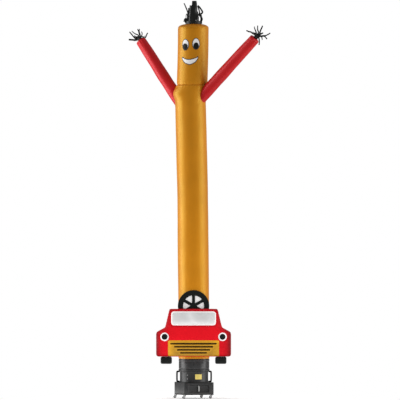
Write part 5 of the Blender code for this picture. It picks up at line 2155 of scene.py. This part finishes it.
def make_world(fill, reflection):
    """White world: full to the camera, dimmer as light, dimmer again in reflections."""
    world = bpy.data.worlds.new("pale_room")
    bpy.context.scene.world = world
    world.use_nodes = True
    tree = world.node_tree
    seen = tree.nodes["Background"]
    feed(tree, seen, {"Color": WHITE_LIGHT, "Strength": fill})
    path = tree.nodes.new("ShaderNodeLightPath")
    for ray, strength in (("Is Glossy Ray", fill * reflection), ("Is Camera Ray", 1.0)):
        background = add_node(tree, "ShaderNodeBackground", Color=WHITE_LIGHT, Strength=strength)
        mix = tree.nodes.new("ShaderNodeMixShader")
        for socket, feeder in zip(mix.inputs, (path.outputs[ray], seen.outputs[0], background.outputs[0])):
            tree.links.new(feeder, socket)
        seen = mix
    tree.links.new(seen.outputs[0], tree.nodes["World Output"].inputs["Surface"])


def make_stage():
    stage = bpy.context.scene.air_dancer_stage
    scene = bpy.context.scene
    scene.view_settings.view_transform = "Standard"
    make_floor()
    for name, power, place, wide, tall, glossy in LAMPS:
        lamp = bpy.data.lights.new(name, "AREA")
        lamp.shape = "RECTANGLE"
        lamp.size = wide
        lamp.size_y = tall
        lamp.energy = getattr(stage, power)
        obj = linked(name, lamp)
        obj.location = place
        aim = Vector((FAN_X, FAN_Y, place[2])) - Vector(place)
        obj.rotation_euler = aim.to_track_quat("-Z", "Y").to_euler()
        obj.visible_camera = False
        obj.visible_glossy = glossy
    make_world(stage.fill, stage.reflection)
    camera = bpy.data.cameras.new("camera")
    camera.sensor_width = 36.0
    camera.lens = camera.sensor_width * stage.distance / stage.view_height
    camera.clip_end = 400.0
    obj = linked("camera", camera)
    obj.location = (CAMERA_X, FAN_Y - stage.distance, CAMERA_Z)
    obj.rotation_euler = (math.pi / 2, 0, 0)
    scene.camera = obj


# ---- operators, panel and registration


class AIRDANCER_OT_tube(bpy.types.Operator):
    """Make the tube, the head and the crown, with their seams."""

    bl_idname = "air_dancer.tube"
    bl_label = "Tube and head"

    def execute(self, context):
        make_tube()
        return {"FINISHED"}


class AIRDANCER_OT_arms(bpy.types.Operator):
    """Make the two arms, sewn to the tube and drawn in at the hands."""

    bl_idname = "air_dancer.arms"
    bl_label = "Arms"

    def execute(self, context):
        make_arms()
        return {"FINISHED"}


class AIRDANCER_OT_streamers(bpy.types.Operator):
    """Make the strips of cloth at the hands."""

    bl_idname = "air_dancer.streamers"
    bl_label = "Hand streamers"

    def execute(self, context):
        make_streamers()
        return {"FINISHED"}


class AIRDANCER_OT_hair(bpy.types.Operator):
    """Make the strips of cloth round the vent."""

    bl_idname = "air_dancer.hair"
    bl_label = "Hair"

    def execute(self, context):
        make_hair()
        return {"FINISHED"}


class AIRDANCER_OT_face(bpy.types.Operator):
    """Make the eyes and the mouth with their satin-stitched edges."""

    bl_idname = "air_dancer.face"
    bl_label = "Face"

    def execute(self, context):
        make_face()
        return {"FINISHED"}


class AIRDANCER_OT_car(bpy.types.Operator):
    """Make the padded car panel."""

    bl_idname = "air_dancer.car"
    bl_label = "Car panel"

    def execute(self, context):
        make_car()
        return {"FINISHED"}


class AIRDANCER_OT_car_patches(bpy.types.Operator):
    """Make the windscreen, the grille and the headlights, sewn on the car panel."""

    bl_idname = "air_dancer.car_patches"
    bl_label = "Car patches"

    def execute(self, context):
        make_car_patches()
        return {"FINISHED"}


class AIRDANCER_OT_tyres(bpy.types.Operator):
    """Make the two padded tyres under the car panel."""

    bl_idname = "air_dancer.tyres"
    bl_label = "Tyres"

    def execute(self, context):
        make_tyres()
        return {"FINISHED"}


class AIRDANCER_OT_spare_wheel(bpy.types.Operator):
    """Make the spare wheel and its white face."""

    bl_idname = "air_dancer.spare_wheel"
    bl_label = "Spare wheel"

    def execute(self, context):
        make_spare_wheel()
        return {"FINISHED"}


class AIRDANCER_OT_fan_unit(bpy.types.Operator):
    """Make the fan unit: duct, drum, housing, grips, label and screws."""

    bl_idname = "air_dancer.fan_unit"
    bl_label = "Fan unit"

    def execute(self, context):
        make_fan_unit()
        return {"FINISHED"}


class AIRDANCER_OT_casters(bpy.types.Operator):
    """Make the caster wheels and finish their forks."""

    bl_idname = "air_dancer.casters"
    bl_label = "Casters"

    def execute(self, context):
        make_casters()
        return {"FINISHED"}


class AIRDANCER_OT_stage(bpy.types.Operator):
    """Make the floor, the lights and the camera."""

    bl_idname = "air_dancer.stage"
    bl_label = "Stage"

    def execute(self, context):
        make_stage()
        return {"FINISHED"}


BUILD_ORDER = (
    AIRDANCER_OT_tube,
    AIRDANCER_OT_arms,
    AIRDANCER_OT_streamers,
    AIRDANCER_OT_hair,
    AIRDANCER_OT_face,
    AIRDANCER_OT_car,
    AIRDANCER_OT_car_patches,
    AIRDANCER_OT_tyres,
    AIRDANCER_OT_spare_wheel,
    AIRDANCER_OT_fan_unit,
    AIRDANCER_OT_casters,
    AIRDANCER_OT_stage,
)
SETTINGS = (
    ("air_dancer_cloth", AirDancerCloth),
    ("air_dancer_sewing", AirDancerSewing),
    ("air_dancer_unit", AirDancerUnit),
    ("air_dancer_stage", AirDancerStage),
)


class AIRDANCER_PT_panel(bpy.types.Panel):
    """Sizes, colours and pieces of the air dancer."""

    bl_idname = "AIRDANCER_PT_panel"
    bl_label = "Air Dancer"
    bl_space_type = "VIEW_3D"
    bl_region_type = "UI"
    bl_category = "Air Dancer"

    def draw(self, context):
        for name, kind in SETTINGS:
            column = self.layout.box().column()
            group = getattr(context.scene, name)
            for key in kind.__annotations__:
                column.prop(group, key)
        for operator in BUILD_ORDER:
            self.layout.operator(operator.bl_idname)


def register():
    for name, kind in SETTINGS:
        bpy.utils.register_class(kind)
        setattr(bpy.types.Scene, name, bpy.props.PointerProperty(type=kind))
    for kind in BUILD_ORDER:
        bpy.utils.register_class(kind)
    bpy.utils.register_class(AIRDANCER_PT_panel)


def unregister():
    bpy.utils.unregister_class(AIRDANCER_PT_panel)
    for kind in reversed(BUILD_ORDER):
        bpy.utils.unregister_class(kind)
    for name, kind in reversed(SETTINGS):
        delattr(bpy.types.Scene, name)
        bpy.utils.unregister_class(kind)


def main():
    register()
    for operator in BUILD_ORDER:
        group, name = operator.bl_idname.split(".")
        getattr(getattr(bpy.ops, group), name)()


if __name__ == "__main__":
    main()
